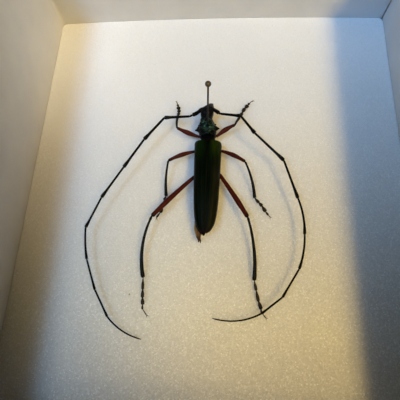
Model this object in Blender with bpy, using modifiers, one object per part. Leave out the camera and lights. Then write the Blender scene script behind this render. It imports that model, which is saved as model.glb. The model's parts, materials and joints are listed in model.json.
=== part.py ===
"""A pinned longhorn beetle in an open card specimen box.

The box is a card tray with a thinner card liner bent round inside it and a foam floor. The beetle
is spread flat on the foam and held by one long pin through its collar plate. The origin is the
middle of the tray's underside, +Y points from the beetle's tail to its head, and +Z is up. Sizes
below are in millimetres. Heights of the beetle and the pin are measured from the foam's top.
"""

import math

import bmesh
import bpy
from mathutils import Matrix, Vector

MM = 0.001

# ---------------------------------------------------------------- driving sizes of the box
INNER_WIDTH = 114.6
INNER_LENGTH = 135.0
CARD_THICK = 2.0
LINER_THICK = 1.0
FOAM_THICK = 10.0
RIM_ABOVE_FOAM = 42.0
CLEARANCE = 0.3
END_BOW = 1.35
BACK_LEFT_PULL = 0.7
SOFT_FOLD = 1.1
SEAM_HALF = 0.25
LINER_BELOW_RIM = 0.4
TRAY_CORNER = 1.2
INSIDE_CORNER = 0.3
FOAM_CORNER = 1.6
BOW_STEPS = 12

HALF_WIDTH = INNER_WIDTH / 2
HALF_LENGTH = INNER_LENGTH / 2
FLOOR_TOP = CARD_THICK
FOAM_BOTTOM = FLOOR_TOP + CLEARANCE
FOAM_TOP = FOAM_BOTTOM + FOAM_THICK
RIM_TOP = FOAM_TOP + RIM_ABOVE_FOAM
TRAY_INNER_WIDTH = INNER_WIDTH + 2 * (LINER_THICK + CLEARANCE)
TRAY_INNER_LENGTH = INNER_LENGTH + 2 * (END_BOW + LINER_THICK + CLEARANCE)

# ---------------------------------------------------------------- driving sizes of the pin
PIN_LENGTH = 38.0
PIN_SHAFT_WIDTH = 0.5
PIN_POINT = 1.6
PIN_BALL = 1.6
PIN_HEAD_PLACE = (-0.6, 20.2, 28.0)
PIN_BODY_PLACE = (-1.6, 20.3, 7.5)
PIN_SIDES = 10
PIN_FIT = 0.06

# ---------------------------------------------------------------- driving sizes of the beetle
BODY_X = -1.45
JOINT_GAP = 0.12
JOINT_NECK = 0.12
ELYTRON_THICK = 0.3
WING_THICK = 0.12
SUTURE_GAP = 0.1

COLLAR_PLACE = (-1.95, 21.0)
COLLAR_TURN = math.radians(7)
SPINE_REACH = 4.0
SPINE_BACK = -0.4

ELYTRON_FRONT = 15.9
ELYTRON_LENGTH = 28.1
ELYTRON_WIDTH = 4.1
LEFT_CASE_LONGER = 0.4
ELYTRON_TOP = 7.6
ELYTRON_EDGE = 4.1
ELYTRON_TAIL_DROP = 2.9
SCUTELLUM_NOTCH = 1.5

# Joint places of the antennae: head socket, then the far end of each of the eleven articles.
ANTENNA_JOINTS = {
    "left": [
        (-4.4, 26.7, 5.4), (-6.6, 24.6, 6.3), (-7.3, 24.0, 6.5), (-15.1, 23.2, 7.0),
        (-20.8, 15.8, 6.8), (-26.3, 6.8, 6.2), (-32.1, -2.6, 5.4), (-35.9, -11.6, 4.5),
        (-34.6, -20.6, 3.6), (-31.4, -28.8, 2.9), (-27.2, -35.8, 2.2), (-17.6, -41.2, 0.9),
    ],
    "right": [
        (0.1, 27.0, 5.4), (1.6, 25.2, 6.6), (2.1, 24.7, 6.9), (8.2, 22.7, 9.0),
        (12.4, 17.2, 8.6), (20.8, 9.3, 7.0), (24.6, -1.8, 5.8), (26.2, -12.0, 4.7),
        (24.5, -21.4, 3.8), (20.0, -28.9, 3.0), (14.6, -33.2, 2.2), (1.3, -35.0, 0.9),
    ],
}
# How far the middle of an article stands off the straight line between its joints.
ANTENNA_BOWS = {
    "left": {1: 0.2, 8: -0.25, 11: -0.9},
    "right": {7: 0.55, 8: 0.45, 11: 1.3},
}
# Widths of the eleven articles: at the near end, and at the swollen far end.
ANTENNA_WIDTHS = [
    (0.8, 1.1), (0.5, 0.6), (0.62, 1.0), (0.6, 0.98), (0.55, 0.9), (0.5, 0.82),
    (0.46, 0.68), (0.44, 0.6), (0.42, 0.52), (0.4, 0.48), (0.38, 0.24),
]

# Leg joints: where the thigh leaves the body, the knee, the ankle, then the foot's nodes.
LEG_JOINTS = {
    "front_left": [
        (-4.7, 18.9, 3.0), (-11.3, 21.0, 4.6), (-11.8, 27.5, 1.2),
        (-11.7, 28.4, 1.0), (-11.7, 29.6, 0.8), (-12.0, 30.9, 0.7), (-12.3, 31.9, 0.6),
        (-12.9, 33.5, 0.5),
    ],
    "front_right": [
        (1.2, 19.2, 3.0), (6.6, 22.2, 4.6), (8.0, 26.7, 1.2),
        (8.8, 28.5, 1.0), (9.6, 30.3, 0.8), (10.6, 31.6, 0.7), (11.2, 32.5, 0.6),
        (12.8, 33.7, 0.5),
    ],
    "middle_left": [
        (-5.2, 13.8, 3.0), (-13.3, 9.8, 4.6), (-13.7, -0.4, 1.2),
        (-14.2, -1.4, 1.0), (-14.6, -3.4, 0.8), (-15.1, -5.2, 0.7), (-16.1, -6.7, 0.6),
        (-16.2, -7.6, 0.5),
    ],
    "middle_right": [
        (2.3, 14.1, 3.0), (9.8, 9.8, 4.6), (12.8, -0.4, 1.2),
        (13.9, -1.6, 1.0), (14.9, -2.6, 0.8), (15.9, -4.2, 0.7), (16.7, -5.3, 0.6),
        (17.6, -6.4, 0.5),
    ],
    "hind_left": [
        (-5.1, 5.5, 3.0), (-16.8, -7.9, 5.0), (-18.5, -24.9, 1.3),
        (-18.4, -27.7, 1.0), (-18.3, -30.0, 0.8), (-18.1, -31.9, 0.7), (-18.1, -33.2, 0.6),
        (-16.2, -35.6, 0.5),
    ],
    "hind_right": [
        (2.1, 6.4, 3.0), (10.6, -7.5, 5.0), (12.6, -24.6, 1.3),
        (13.1, -26.9, 1.0), (13.7, -29.7, 0.8), (14.4, -31.8, 0.7), (14.6, -33.0, 0.6),
        (16.2, -34.8, 0.5),
    ],
}
# Sideways bows of thigh and shank, in the same order of joints.
LEG_BOWS = {
    "front_left": (0.15, 0.3),
    "front_right": (0.3, 0.1),
    "middle_left": (-0.45, -0.4),
    "middle_right": (0.4, 0.55),
    "hind_left": (-0.25, -1.45),
    "hind_right": (0.15, 0.85),
}
# Widths of thigh (root, belly, knee) and shank (knee, ankle), and of the foot's lobes.
LEG_WIDTHS = {
    "front": ((0.75, 1.25, 0.75), (0.5, 0.75), 0.95),
    "middle": ((0.75, 1.2, 0.8), (0.48, 0.85), 0.8),
    "hind": ((0.95, 1.45, 1.0), (0.55, 1.0), 0.7),
}

# Colours, roughness and metallic value of each finish.
FINISHES = {
    "card": ((0.62, 0.59, 0.54), 0.9, 0.0),
    "liner": ((0.66, 0.63, 0.58), 0.85, 0.0),
    "foam": ((0.86, 0.83, 0.75), 0.8, 0.0),
    "pin": ((0.20, 0.14, 0.10), 0.3, 1.0),
    "ball": ((0.22, 0.15, 0.10), 0.25, 0.6),
    "black": ((0.012, 0.012, 0.012), 0.35, 0.0),
    "collar": ((0.01, 0.03, 0.025), 0.4, 0.4),
    "green": ((0.008, 0.03, 0.006), 0.4, 0.5),
    "red": ((0.17, 0.028, 0.012), 0.35, 0.0),
    "amber": ((0.45, 0.26, 0.09), 0.3, 0.0),
    "jaw": ((0.10, 0.04, 0.02), 0.35, 0.0),
}


# ---------------------------------------------------------------- helpers
def start_clean():
    """Empty the scene and make one collection for the parts and one for the cutters."""
    for old in list(bpy.data.objects):
        bpy.data.objects.remove(old, do_unlink=True)
    collections = []
    for name in ("pinned_beetle_box", "cutters"):
        group = bpy.data.collections.new(name)
        bpy.context.scene.collection.children.link(group)
        collections.append(group)
    return collections


PARTS, CUTTERS = start_clean()


def finish(name):
    """The named finish as a Principled material, made once."""
    found = bpy.data.materials.get(name)
    if found:
        return found
    colour, roughness, metallic = FINISHES[name]
    material = bpy.data.materials.new(name)
    material.use_nodes = True
    shader = material.node_tree.nodes["Principled BSDF"]
    shader.inputs["Base Color"].default_value = (*colour, 1.0)
    shader.inputs["Roughness"].default_value = roughness
    shader.inputs["Metallic"].default_value = metallic
    material.diffuse_color = (*colour, 1.0)
    return material


def on_foam(x, y, z):
    """A place in metres, from millimetres with the height counted from the foam's top."""
    return Vector((x, y, FOAM_TOP + z)) * MM


def object_from(bm, name, finish_name):
    """Turn a bmesh into a named object of the parts collection."""
    mesh = bpy.data.meshes.new(name)
    bm.to_mesh(mesh)
    bm.free()
    mesh.materials.append(finish(finish_name))
    piece = bpy.data.objects.new(name, mesh)
    PARTS.objects.link(piece)
    return piece


def round_off(piece, angle=40):
    """Shade a round piece smooth, with its real edges kept sharp."""
    piece.data.shade_smooth()
    piece.data.set_sharp_from_angle(angle=math.radians(angle))


def mesh_of_curve(curve_object, name, finish_name):
    """The curve's solid as a mesh object, with its caps welded on."""
    bpy.context.view_layer.update()
    graph = bpy.context.evaluated_depsgraph_get()
    mesh = bpy.data.meshes.new_from_object(curve_object.evaluated_get(graph))
    mesh.name = name
    bm = bmesh.new()
    bm.from_mesh(mesh)
    bmesh.ops.remove_doubles(bm, verts=bm.verts, dist=0.000002)
    bmesh.ops.recalc_face_normals(bm, faces=bm.faces)
    bm.to_mesh(mesh)
    bm.free()
    mesh.materials.clear()
    mesh.materials.append(finish(finish_name))
    piece = bpy.data.objects.new(name, mesh)
    piece.matrix_world = curve_object.matrix_world
    PARTS.objects.link(piece)
    bpy.data.objects.remove(curve_object, do_unlink=True)
    return piece


def cut(piece, cutter, operation="DIFFERENCE"):
    """Cut a piece by a cutter, or join the cutter to it."""
    boolean = piece.modifiers.new(operation.lower(), "BOOLEAN")
    boolean.object = cutter
    boolean.operation = operation
    boolean.solver = "EXACT"


def as_cutter(piece):
    """Move an object to the cutters collection and hide it from the model."""
    PARTS.objects.unlink(piece)
    CUTTERS.objects.link(piece)
    piece.hide_render = True
    piece.display_type = "WIRE"
    return piece


# ---------------------------------------------------------------- the box
def end_line(x, side):
    """Y of the liner's short side at x: side +1 is the back, which is also pulled in at its left."""
    across = (x + HALF_WIDTH) / INNER_WIDTH
    bow = END_BOW * 4 * across * (1 - across)
    pull = BACK_LEFT_PULL * (1 - across) if side > 0 else 0.0
    return side * (HALF_LENGTH + bow - pull)


def end_points(x_from, x_to, side):
    """Points along a bowed short side, from one x to another."""
    steps = [i / BOW_STEPS for i in range(BOW_STEPS + 1)]
    xs = [x_from + (x_to - x_from) * t for t in steps]
    return [(x, end_line(x, side)) for x in xs]


def box(name, width, length, low, high, corner):
    """A block centred on the origin in plan, with its upright edges rounded."""
    bm = bmesh.new()
    bmesh.ops.create_cube(bm, size=1.0)
    bmesh.ops.scale(bm, verts=bm.verts, vec=Vector((width, length, high - low)) * MM)
    bmesh.ops.translate(bm, verts=bm.verts, vec=Vector((0, 0, (low + high) / 2)) * MM)
    half_height = (high - low) / 2 * MM
    upright = [e for e in bm.edges if abs(e.verts[0].co.z - e.verts[1].co.z) > half_height]
    bmesh.ops.bevel(bm, geom=upright, offset=corner * MM, segments=4, profile=0.5, affect="EDGES")
    return object_from(bm, name, "card")


def make_tray():
    """An open card box: a block with its inside cut away down to the floor."""
    outer_width = TRAY_INNER_WIDTH + 2 * CARD_THICK
    outer_length = TRAY_INNER_LENGTH + 2 * CARD_THICK
    tray = box("case_tray", outer_width, outer_length, 0.0, RIM_TOP, TRAY_CORNER)
    above = RIM_TOP + CARD_THICK
    inside = box("tray inside", TRAY_INNER_WIDTH, TRAY_INNER_LENGTH, FLOOR_TOP, above, INSIDE_CORNER)
    cut(tray, as_cutter(inside))
    return tray


def make_liner():
    """A card strip bent round inside the tray, its ends meeting at the back right corner."""
    fold = SOFT_FOLD
    back_left = end_line(-HALF_WIDTH + fold, 1)
    path = end_points(HALF_WIDTH - SEAM_HALF, -HALF_WIDTH + fold, 1)
    path += [(-HALF_WIDTH, back_left - fold)]
    path += end_points(-HALF_WIDTH, HALF_WIDTH, -1)
    path += [(HALF_WIDTH, HALF_LENGTH - SEAM_HALF)]
    low = FOAM_BOTTOM
    high = RIM_TOP - LINER_BELOW_RIM
    bm = bmesh.new()
    feet = [bm.verts.new(Vector((x, y, low)) * MM) for x, y in path]
    edges = [bm.edges.new(pair) for pair in zip(feet, feet[1:])]
    grown = bmesh.ops.extrude_edge_only(bm, edges=edges)
    tops = [v for v in grown["geom"] if isinstance(v, bmesh.types.BMVert)]
    bmesh.ops.translate(bm, verts=tops, vec=Vector((0, 0, high - low)) * MM)
    left_wall = min(bm.faces, key=lambda face: face.calc_center_median().x)
    left_wall.normal_update()
    if left_wall.normal.x > 0:
        bmesh.ops.reverse_faces(bm, faces=bm.faces)
    liner = object_from(bm, "wall_liner", "liner")
    wall = liner.modifiers.new("card thickness", "SOLIDIFY")
    wall.thickness = LINER_THICK * MM
    wall.offset = 1.0
    wall.use_even_offset = True
    return liner


def make_foam(pin_hole):
    """The foam floor: the liner's plan drawn in by the clearance, with a hole for the pin."""
    inset = CLEARANCE
    corner = FOAM_CORNER
    half = HALF_WIDTH - inset
    back = [(x, y - inset) for x, y in end_points(half - corner, -half + corner, 1)]
    front = [(x, y + inset) for x, y in end_points(-half + corner, half - corner, -1)]
    outline = list(back)
    outline += [(-half + corner * 0.3, back[-1][1] - corner * 0.3)]
    outline += [(-half, back[-1][1] - corner)]
    outline += [(-half, front[0][1] + corner)]
    outline += [(-half + corner * 0.3, front[0][1] + corner * 0.3)]
    outline += front
    outline += [(half - corner * 0.3, front[-1][1] + corner * 0.3)]
    outline += [(half, front[-1][1] + corner)]
    outline += [(half, back[0][1] - corner)]
    outline += [(half - corner * 0.3, back[0][1] - corner * 0.3)]
    data = bpy.data.curves.new("foam outline", "CURVE")
    data.dimensions = "2D"
    data.fill_mode = "BOTH"
    data.extrude = FOAM_THICK / 2 * MM
    spline = data.splines.new("POLY")
    spline.points.add(len(outline) - 1)
    for point, (x, y) in zip(spline.points, outline):
        point.co = (x * MM, y * MM, 0.0, 1.0)
    spline.use_cyclic_u = True
    sheet = bpy.data.objects.new("foam outline", data)
    sheet.location.z = (FOAM_BOTTOM + FOAM_THICK / 2) * MM
    PARTS.objects.link(sheet)
    foam = mesh_of_curve(sheet, "foam_pad", "foam")
    cut(foam, pin_hole)
    return foam


# ---------------------------------------------------------------- the pin
def turned(name, profile, sides, finish_name):
    """A turned piece from a profile of (radius, height) pairs, listed from top to bottom."""
    bm = bmesh.new()
    points = [bm.verts.new((radius * MM, 0.0, height * MM)) for radius, height in profile]
    for pair in zip(points, points[1:]):
        bm.edges.new(pair)
    piece = object_from(bm, name, finish_name)
    screw = piece.modifiers.new("turn", "SCREW")
    screw.steps = sides
    screw.render_steps = sides
    screw.use_merge_vertices = True
    screw.merge_threshold = 0.000005
    round_off(piece)
    return piece


def pin_axis():
    """Unit direction of the pin, from its body place up to its head."""
    return (Vector(PIN_HEAD_PLACE) - Vector(PIN_BODY_PLACE)).normalized()


def stand_on_pin(piece, place):
    """Turn an upright piece onto the pin's axis and put its origin at the place."""
    turn = Vector((0, 0, 1)).rotation_difference(pin_axis())
    piece.matrix_world = Matrix.Translation(on_foam(*place)) @ turn.to_matrix().to_4x4()


def make_pin():
    """Shaft with a long point, and the ball on its top."""
    radius = PIN_SHAFT_WIDTH / 2
    ball = PIN_BALL / 2
    shaft_top = -ball - 0.03
    tip = ball - PIN_LENGTH
    shaft = turned(
        "pin_shaft",
        [(0.0, shaft_top), (radius, shaft_top), (radius, tip + PIN_POINT), (0.0, tip)],
        PIN_SIDES, "pin",
    )
    stand_on_pin(shaft, PIN_HEAD_PLACE)
    steps = 8
    angles = [math.pi * i / steps for i in range(steps + 1)]
    arc = [(ball * math.sin(a), ball * math.cos(a)) for a in angles]
    arc[0] = (0.0, ball)
    arc[-1] = (0.0, -ball)
    head = turned("pin_head", arc, 14, "ball")
    stand_on_pin(head, PIN_HEAD_PLACE)
    return shaft, head


def make_pin_hole():
    """A cutter round the pin's shaft, from above the beetle down through the foam."""
    radius = PIN_SHAFT_WIDTH / 2 + PIN_FIT
    top = -PIN_HEAD_PLACE[2] + 12.0
    bottom = top - 30.0
    hole = turned(
        "pin hole", [(0.0, top), (radius, top), (radius, bottom), (0.0, bottom)], PIN_SIDES, "pin"
    )
    stand_on_pin(hole, PIN_HEAD_PLACE)
    return as_cutter(hole)


# ---------------------------------------------------------------- the beetle's trunk
def ring(half_width, low, high, sides=16, squareness=2.4):
    """Points of a rounded cross-section, as (sideways, height) pairs, counter-clockwise."""
    middle = (low + high) / 2
    half_height = (high - low) / 2
    power = 2 / squareness
    points = []
    for i in range(sides):
        angle = 2 * math.pi * i / sides
        c = math.cos(angle)
        s = math.sin(angle)
        across = math.copysign(abs(c) ** power, c)
        up = math.copysign(abs(s) ** power, s)
        points.append((half_width * across, middle + half_height * up))
    return points


def loft(name, sections, finish_name, place=(0.0, 0.0), turn=0.0):
    """A solid through cross-sections (x, y, half width, low, high), listed from front to tail."""
    bm = bmesh.new()
    rows = []
    c = math.cos(turn)
    s = math.sin(turn)
    for x, y, half_width, low, high in sections:
        row = []
        for across, up in ring(half_width, low, high):
            u = x + across
            row.append(bm.verts.new(on_foam(place[0] + u * c - y * s, place[1] + u * s + y * c, up)))
        rows.append(row)
    for near, far in zip(rows, rows[1:]):
        for i in range(len(near)):
            j = (i + 1) % len(near)
            bm.faces.new((near[i], near[j], far[j], far[i]))
    bm.faces.new(rows[0][::-1])
    bm.faces.new(rows[-1])
    bmesh.ops.recalc_face_normals(bm, faces=bm.faces)
    piece = object_from(bm, name, finish_name)
    round_off(piece, 60)
    return piece


def make_head():
    """The head narrows to a short muzzle that is turned a little to the right."""
    return loft("head", [
        (-2.20, 24.45, 1.75, 2.9, 6.6),
        (-2.20, 25.30, 1.95, 2.7, 6.9),
        (-2.15, 26.40, 2.05, 2.6, 7.0),
        (-2.10, 27.60, 2.05, 2.5, 6.8),
        (-1.60, 28.50, 1.42, 2.4, 6.2),
        (-1.15, 29.30, 0.88, 2.5, 5.4),
        (-1.00, 29.75, 0.62, 2.6, 4.9),
    ], "black")


def make_collar(pin_hole):
    """The collar plate, with a pointed spine on each side and a hole for the pin."""
    collar = loft("pronotum", [
        (0.0, 3.15, 1.85, 2.7, 6.8),
        (0.0, 2.7, 2.00, 2.4, 7.0),
        (0.0, 1.8, 2.20, 2.1, 7.2),
        (0.0, 0.9, 2.65, 1.9, 7.5),
        (0.0, 0.3, 2.60, 1.8, 7.6),
        (0.0, -0.6, 2.95, 1.8, 7.7),
        (0.0, -1.6, 2.80, 1.8, 7.6),
        (0.0, -2.4, 2.50, 1.9, 7.3),
        (0.0, -3.05, 2.50, 2.1, 7.0),
    ], "collar", COLLAR_PLACE, COLLAR_TURN)
    for side in (-1, 1):
        bm = bmesh.new()
        bmesh.ops.create_cone(
            bm, cap_ends=True, segments=10, radius1=0.95 * MM, radius2=0.08 * MM, depth=2.2 * MM)
        reach = side * (SPINE_REACH - 1.1)
        lay = Matrix.Rotation(side * math.radians(90), 4, "Y")
        turn = Matrix.Rotation(COLLAR_TURN, 4, "Z")
        inner = Vector((reach, SPINE_BACK, 0.0)) * MM
        place = Matrix.Translation(on_foam(COLLAR_PLACE[0], COLLAR_PLACE[1], 5.2))
        bm.transform(place @ turn @ Matrix.Translation(inner) @ lay)
        spine = as_cutter(object_from(bm, f"spine {side}", "collar"))
        cut(collar, spine, "UNION")
    cut(collar, pin_hole)
    return collar


def make_trunk():
    """The segment that carries wings and legs, and the abdomen behind it."""
    loft("pterothorax", [
        (-1.60, 17.55, 2.00, 2.4, 6.7),
        (-1.50, 16.90, 2.25, 2.1, 6.9),
        (-1.47, 16.10, 2.55, 1.9, 6.9),
        (BODY_X, 15.00, 3.25, 1.7, 6.8),
        (BODY_X, 12.00, 3.50, 1.5, 6.8),
        (BODY_X, 8.00, 3.40, 1.5, 6.7),
        (BODY_X, 4.60, 3.10, 1.6, 6.4),
    ], "black")
    loft("abdomen", [
        (BODY_X, 4.45, 3.00, 1.5, 6.3),
        (BODY_X, 0.50, 3.00, 1.4, 6.1),
        (BODY_X, -3.50, 2.70, 1.5, 5.6),
        (BODY_X, -7.00, 2.00, 1.6, 4.1),
        (BODY_X, -9.30, 1.30, 1.9, 3.2),
        (BODY_X, -10.30, 0.65, 2.1, 2.8),
    ], "black")


def case_width(along):
    """Width of one wing case at a share of its length: nearly even, then a rounded tip."""
    taper = 1 - 0.14 * along - 0.12 * along ** 3
    return ELYTRON_WIDTH * taper * math.sqrt(1 - along ** 11.5)


def case_height(aside, y):
    """Height of the wing cases' skin at a distance from the seam."""
    along = min(max((ELYTRON_FRONT - y) / ELYTRON_LENGTH, 0.0), 0.995)
    tail = max(0.0, (along - 0.38) / 0.62)
    front = max(0.0, 0.1 - along) / 0.1
    top = ELYTRON_TOP - ELYTRON_TAIL_DROP * tail ** 2.4 - 0.35 * front ** 2
    edge = ELYTRON_EDGE - 0.5 * tail
    share = min(aside / case_width(along), 1.0)
    return edge + (top - edge) * (1 - share ** 2.6) ** (1 / 2.6)


def sheet(name, rows, thickness, finish_name):
    """A thin closed shell under a grid of points, given as rows from front to tail."""
    bm = bmesh.new()
    grid = [[bm.verts.new(on_foam(*place)) for place in row] for row in rows]
    for near, far in zip(grid, grid[1:]):
        for i in range(len(near) - 1):
            bm.faces.new((near[i], near[i + 1], far[i + 1], far[i]))
    middle = bm.faces[:][0]
    middle.normal_update()
    if middle.normal.z < 0:
        bmesh.ops.reverse_faces(bm, faces=bm.faces)
    piece = object_from(bm, name, finish_name)
    shell = piece.modifiers.new("thickness", "SOLIDIFY")
    shell.thickness = thickness * MM
    shell.offset = -1.0
    shell.use_even_offset = False
    round_off(piece, 60)
    return piece


def make_elytron(side_name, side):
    """One wing case: a roof-shaped shell from the seam down to its side edge."""
    shares = [0.0, 0.18, 0.4, 0.6, 0.78, 0.9, 0.97, 1.0]
    alongs = [0.0, 0.03, 0.1, 0.25, 0.45, 0.62, 0.75, 0.84, 0.9, 0.94, 0.97, 0.995]
    seam = BODY_X + side * SUTURE_GAP / 2
    length = ELYTRON_LENGTH + (LEFT_CASE_LONGER if side < 0 else 0.0)
    rows = []
    for along in alongs:
        row = []
        for share in shares:
            notch = SCUTELLUM_NOTCH * max(0.0, 1 - share / 0.18) * max(0.0, 1 - along / 0.1)
            shoulder = 0.5 * share ** 8 * max(0.0, 1 - along / 0.1)
            y = ELYTRON_FRONT - length * along - notch - shoulder
            aside = share * case_width(along)
            row.append((seam + side * aside, y, case_height(aside, y)))
        rows.append(row)
    return sheet(f"elytron_{side_name}", rows, ELYTRON_THICK, "green")


def make_wing(side_name, side, stations):
    """A folded hind wing under its case, from stations (y, distance from seam, half width, height).

    A height of None keeps the wing just under the case's skin.
    """
    rows = []
    for y, aside, half_width, height in stations:
        row = []
        for share in (-1.0, -0.33, 0.33, 1.0):
            out = aside + share * half_width
            level = case_height(out, y) - 0.46 if height is None else height - 0.1 * abs(share)
            row.append((BODY_X + side * out, y, level))
        rows.append(row)
    return sheet(f"hind_wing_{side_name}", rows, WING_THICK, "amber")


# ---------------------------------------------------------------- limbs
def bowed(start, end, bow, share):
    """A place along a limb article that bows sideways by the given amount at its middle."""
    start = Vector(start)
    end = Vector(end)
    run = end - start
    sideways = Vector((-run.y, run.x, 0.0)).normalized()
    return start + run * share + sideways * (bow * 4 * share * (1 - share))


def article(name, start, end, bow, widths, finish_name, sides=8):
    """One limb article: a tapering tube with necked ends, from (share of length, width) pairs."""
    length = (Vector(end) - Vector(start)).length
    gap = JOINT_GAP / length
    neck = min(0.3 / length, 0.2)
    stations = [(gap, JOINT_NECK * 2)]
    stations += [(min(max(share, neck), 1 - neck), width) for share, width in widths]
    stations += [(1 - gap, JOINT_NECK * 2)]
    places = [(bowed(start, end, bow, share), width / 2) for share, width in stations]
    return tube(name, places, finish_name, sides)


def tube(name, places, finish_name, sides=8):
    """A round tube through (place, radius) pairs, closed at both ends."""
    data = bpy.data.curves.new(f"{name} line", "CURVE")
    data.dimensions = "3D"
    data.fill_mode = "FULL"
    data.bevel_depth = MM
    data.bevel_resolution = sides // 4
    data.use_fill_caps = True
    spline = data.splines.new("POLY")
    spline.points.add(len(places) - 1)
    for point, (place, radius) in zip(spline.points, places):
        point.co = (*on_foam(*place), 1.0)
        point.radius = radius
    line = bpy.data.objects.new(f"{name} line", data)
    PARTS.objects.link(line)
    piece = mesh_of_curve(line, name, finish_name)
    round_off(piece)
    return piece


def make_antenna(side_name):
    """Eleven articles from the head socket to the tip, each swollen at its far end."""
    joints = ANTENNA_JOINTS[side_name]
    for number, (near, far) in enumerate(ANTENNA_WIDTHS, 1):
        widths = [(0.05, near), (0.5, (near + far) / 2 * 0.92), (0.82, far), (0.95, far * 0.95)]
        if number <= 2:
            widths = [(0.1, near), (0.5, far), (0.9, far)]
        bow = ANTENNA_BOWS[side_name].get(number, 0.0)
        article(
            f"antenna_{side_name}_{number:02d}", joints[number - 1], joints[number], bow, widths, "black")


def make_leg(leg_name):
    """Thigh, shank and foot of one leg."""
    joints = LEG_JOINTS[leg_name]
    thigh, shank, lobe = LEG_WIDTHS[leg_name.split("_")[0]]
    thigh_bow, shank_bow = LEG_BOWS[leg_name]
    root, belly, knee = thigh
    belly_share = 0.7 if leg_name.startswith("hind") else 0.5
    article(
        f"femur_{leg_name}", joints[0], joints[1], thigh_bow,
        [(0.05, root), (0.25, (root + belly) / 2), (belly_share, belly), (0.88, knee * 1.1), (0.97, knee)],
        "red")
    top, ankle = shank
    article(
        f"tibia_{leg_name}", joints[1], joints[2], shank_bow,
        [(0.04, top), (0.25, top * 1.1), (0.5, (top + ankle) / 2), (0.75, ankle * 0.95), (0.97, ankle)],
        "black")
    nodes = [Vector(place) for place in joints[2:]]
    first = nodes[0] + (nodes[1] - nodes[0]).normalized() * JOINT_GAP * 2
    places = [(first, 0.12)]
    for number, (near, far) in enumerate(zip(nodes, nodes[1:])):
        last = number == len(nodes) - 2
        width = 0.3 if last else lobe
        places.append((near.lerp(far, 0.3), width * 0.32))
        places.append((near.lerp(far, 0.75), width * (0.4 if last else 0.5)))
        places.append((far, 0.1 if last else width * 0.22))
    tube(f"tarsus_{leg_name}", places, "black", 8)


def make_jaw(side_name, side):
    """A short curved jaw at the muzzle's tip."""
    middle = -1.05
    out = 0.42
    tube(f"mandible_{side_name}", [
        (Vector((middle + side * out, 30.0, 3.9)), 0.28),
        (Vector((middle + side * (out + 0.05), 30.18, 3.7)), 0.26),
        (Vector((middle + side * out * 0.8, 30.35, 3.5)), 0.18),
        (Vector((middle + side * 0.13, 30.52, 3.4)), 0.07),
    ], "jaw", 8)


def build():
    """Make every piece."""
    pin_hole = make_pin_hole()
    make_tray()
    make_liner()
    make_foam(pin_hole)
    make_pin()
    make_head()
    make_collar(pin_hole)
    make_trunk()
    for side_name, side in (("left", -1), ("right", 1)):
        make_jaw(side_name, side)
        make_elytron(side_name, side)
        make_antenna(side_name)
    make_wing("left", -1, [
        (11.0, 1.6, 0.7, None), (6.0, 1.7, 1.2, None), (0.0, 1.6, 1.2, None),
        (-5.0, 1.6, 1.1, None), (-8.0, 1.8, 0.9, 4.05), (-9.3, 1.75, 0.85, 3.3),
        (-10.6, 1.75, 0.85, 3.1), (-12.6, 1.6, 0.6, 2.9), (-14.8, 1.3, 0.25, 2.6),
    ])
    make_wing("right", 1, [
        (11.0, 1.6, 0.7, None), (6.0, 1.7, 1.2, None), (0.0, 1.6, 1.2, None),
        (-5.0, 1.6, 1.1, None), (-8.0, 1.4, 0.8, 4.2), (-10.4, 0.9, 0.4, 3.5),
    ])
    for leg_name in LEG_JOINTS:
        make_leg(leg_name)


build()
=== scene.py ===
# %% [markdown]
# # A pinned longhorn beetle in its card box
# This notebook gives the measured CAD model its looks. The CAD model comes first as a fixed frame, and
# every cell after it adds one visible piece: the card box, the foam floor, the pin, and the beetle from
# its head to its last claw. All shapes are worked out in millimetres, because a beetle's hair is far too
# small for comfortable numbers in metres, and each piece is brought to metres when it is placed.

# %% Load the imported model
import json
import math

import bmesh
import bpy
import numpy as np
from mathutils import Matrix, Vector

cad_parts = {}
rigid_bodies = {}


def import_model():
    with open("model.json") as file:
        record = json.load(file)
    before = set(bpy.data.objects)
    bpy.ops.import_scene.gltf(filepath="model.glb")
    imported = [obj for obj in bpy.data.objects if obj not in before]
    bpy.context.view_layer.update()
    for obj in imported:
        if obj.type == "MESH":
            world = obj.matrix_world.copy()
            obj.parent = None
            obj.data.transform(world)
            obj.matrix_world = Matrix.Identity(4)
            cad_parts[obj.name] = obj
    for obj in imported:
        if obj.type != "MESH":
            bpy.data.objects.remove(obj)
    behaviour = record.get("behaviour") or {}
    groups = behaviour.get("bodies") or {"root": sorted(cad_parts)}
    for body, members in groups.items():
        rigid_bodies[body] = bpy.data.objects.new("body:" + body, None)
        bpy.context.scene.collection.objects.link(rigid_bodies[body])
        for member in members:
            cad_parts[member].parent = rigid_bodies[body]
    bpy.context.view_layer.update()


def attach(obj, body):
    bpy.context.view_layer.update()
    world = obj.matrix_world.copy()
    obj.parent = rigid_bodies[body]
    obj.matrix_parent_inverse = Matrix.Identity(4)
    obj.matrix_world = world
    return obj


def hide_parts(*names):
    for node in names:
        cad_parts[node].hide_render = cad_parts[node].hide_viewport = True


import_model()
MM = 0.001
SIDES = {"left": -1, "right": 1}


def into_scene(name, data):
    """A new object in the scene."""
    thing = bpy.data.objects.new(name, data)
    bpy.context.scene.collection.objects.link(thing)
    return thing


# %% [markdown]
# The box is a tray with a thinner strip of card bent round inside it and a foam floor. Its sizes come
# from a few measured numbers, so the foam, the walls and the beetle always agree with each other.

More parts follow.
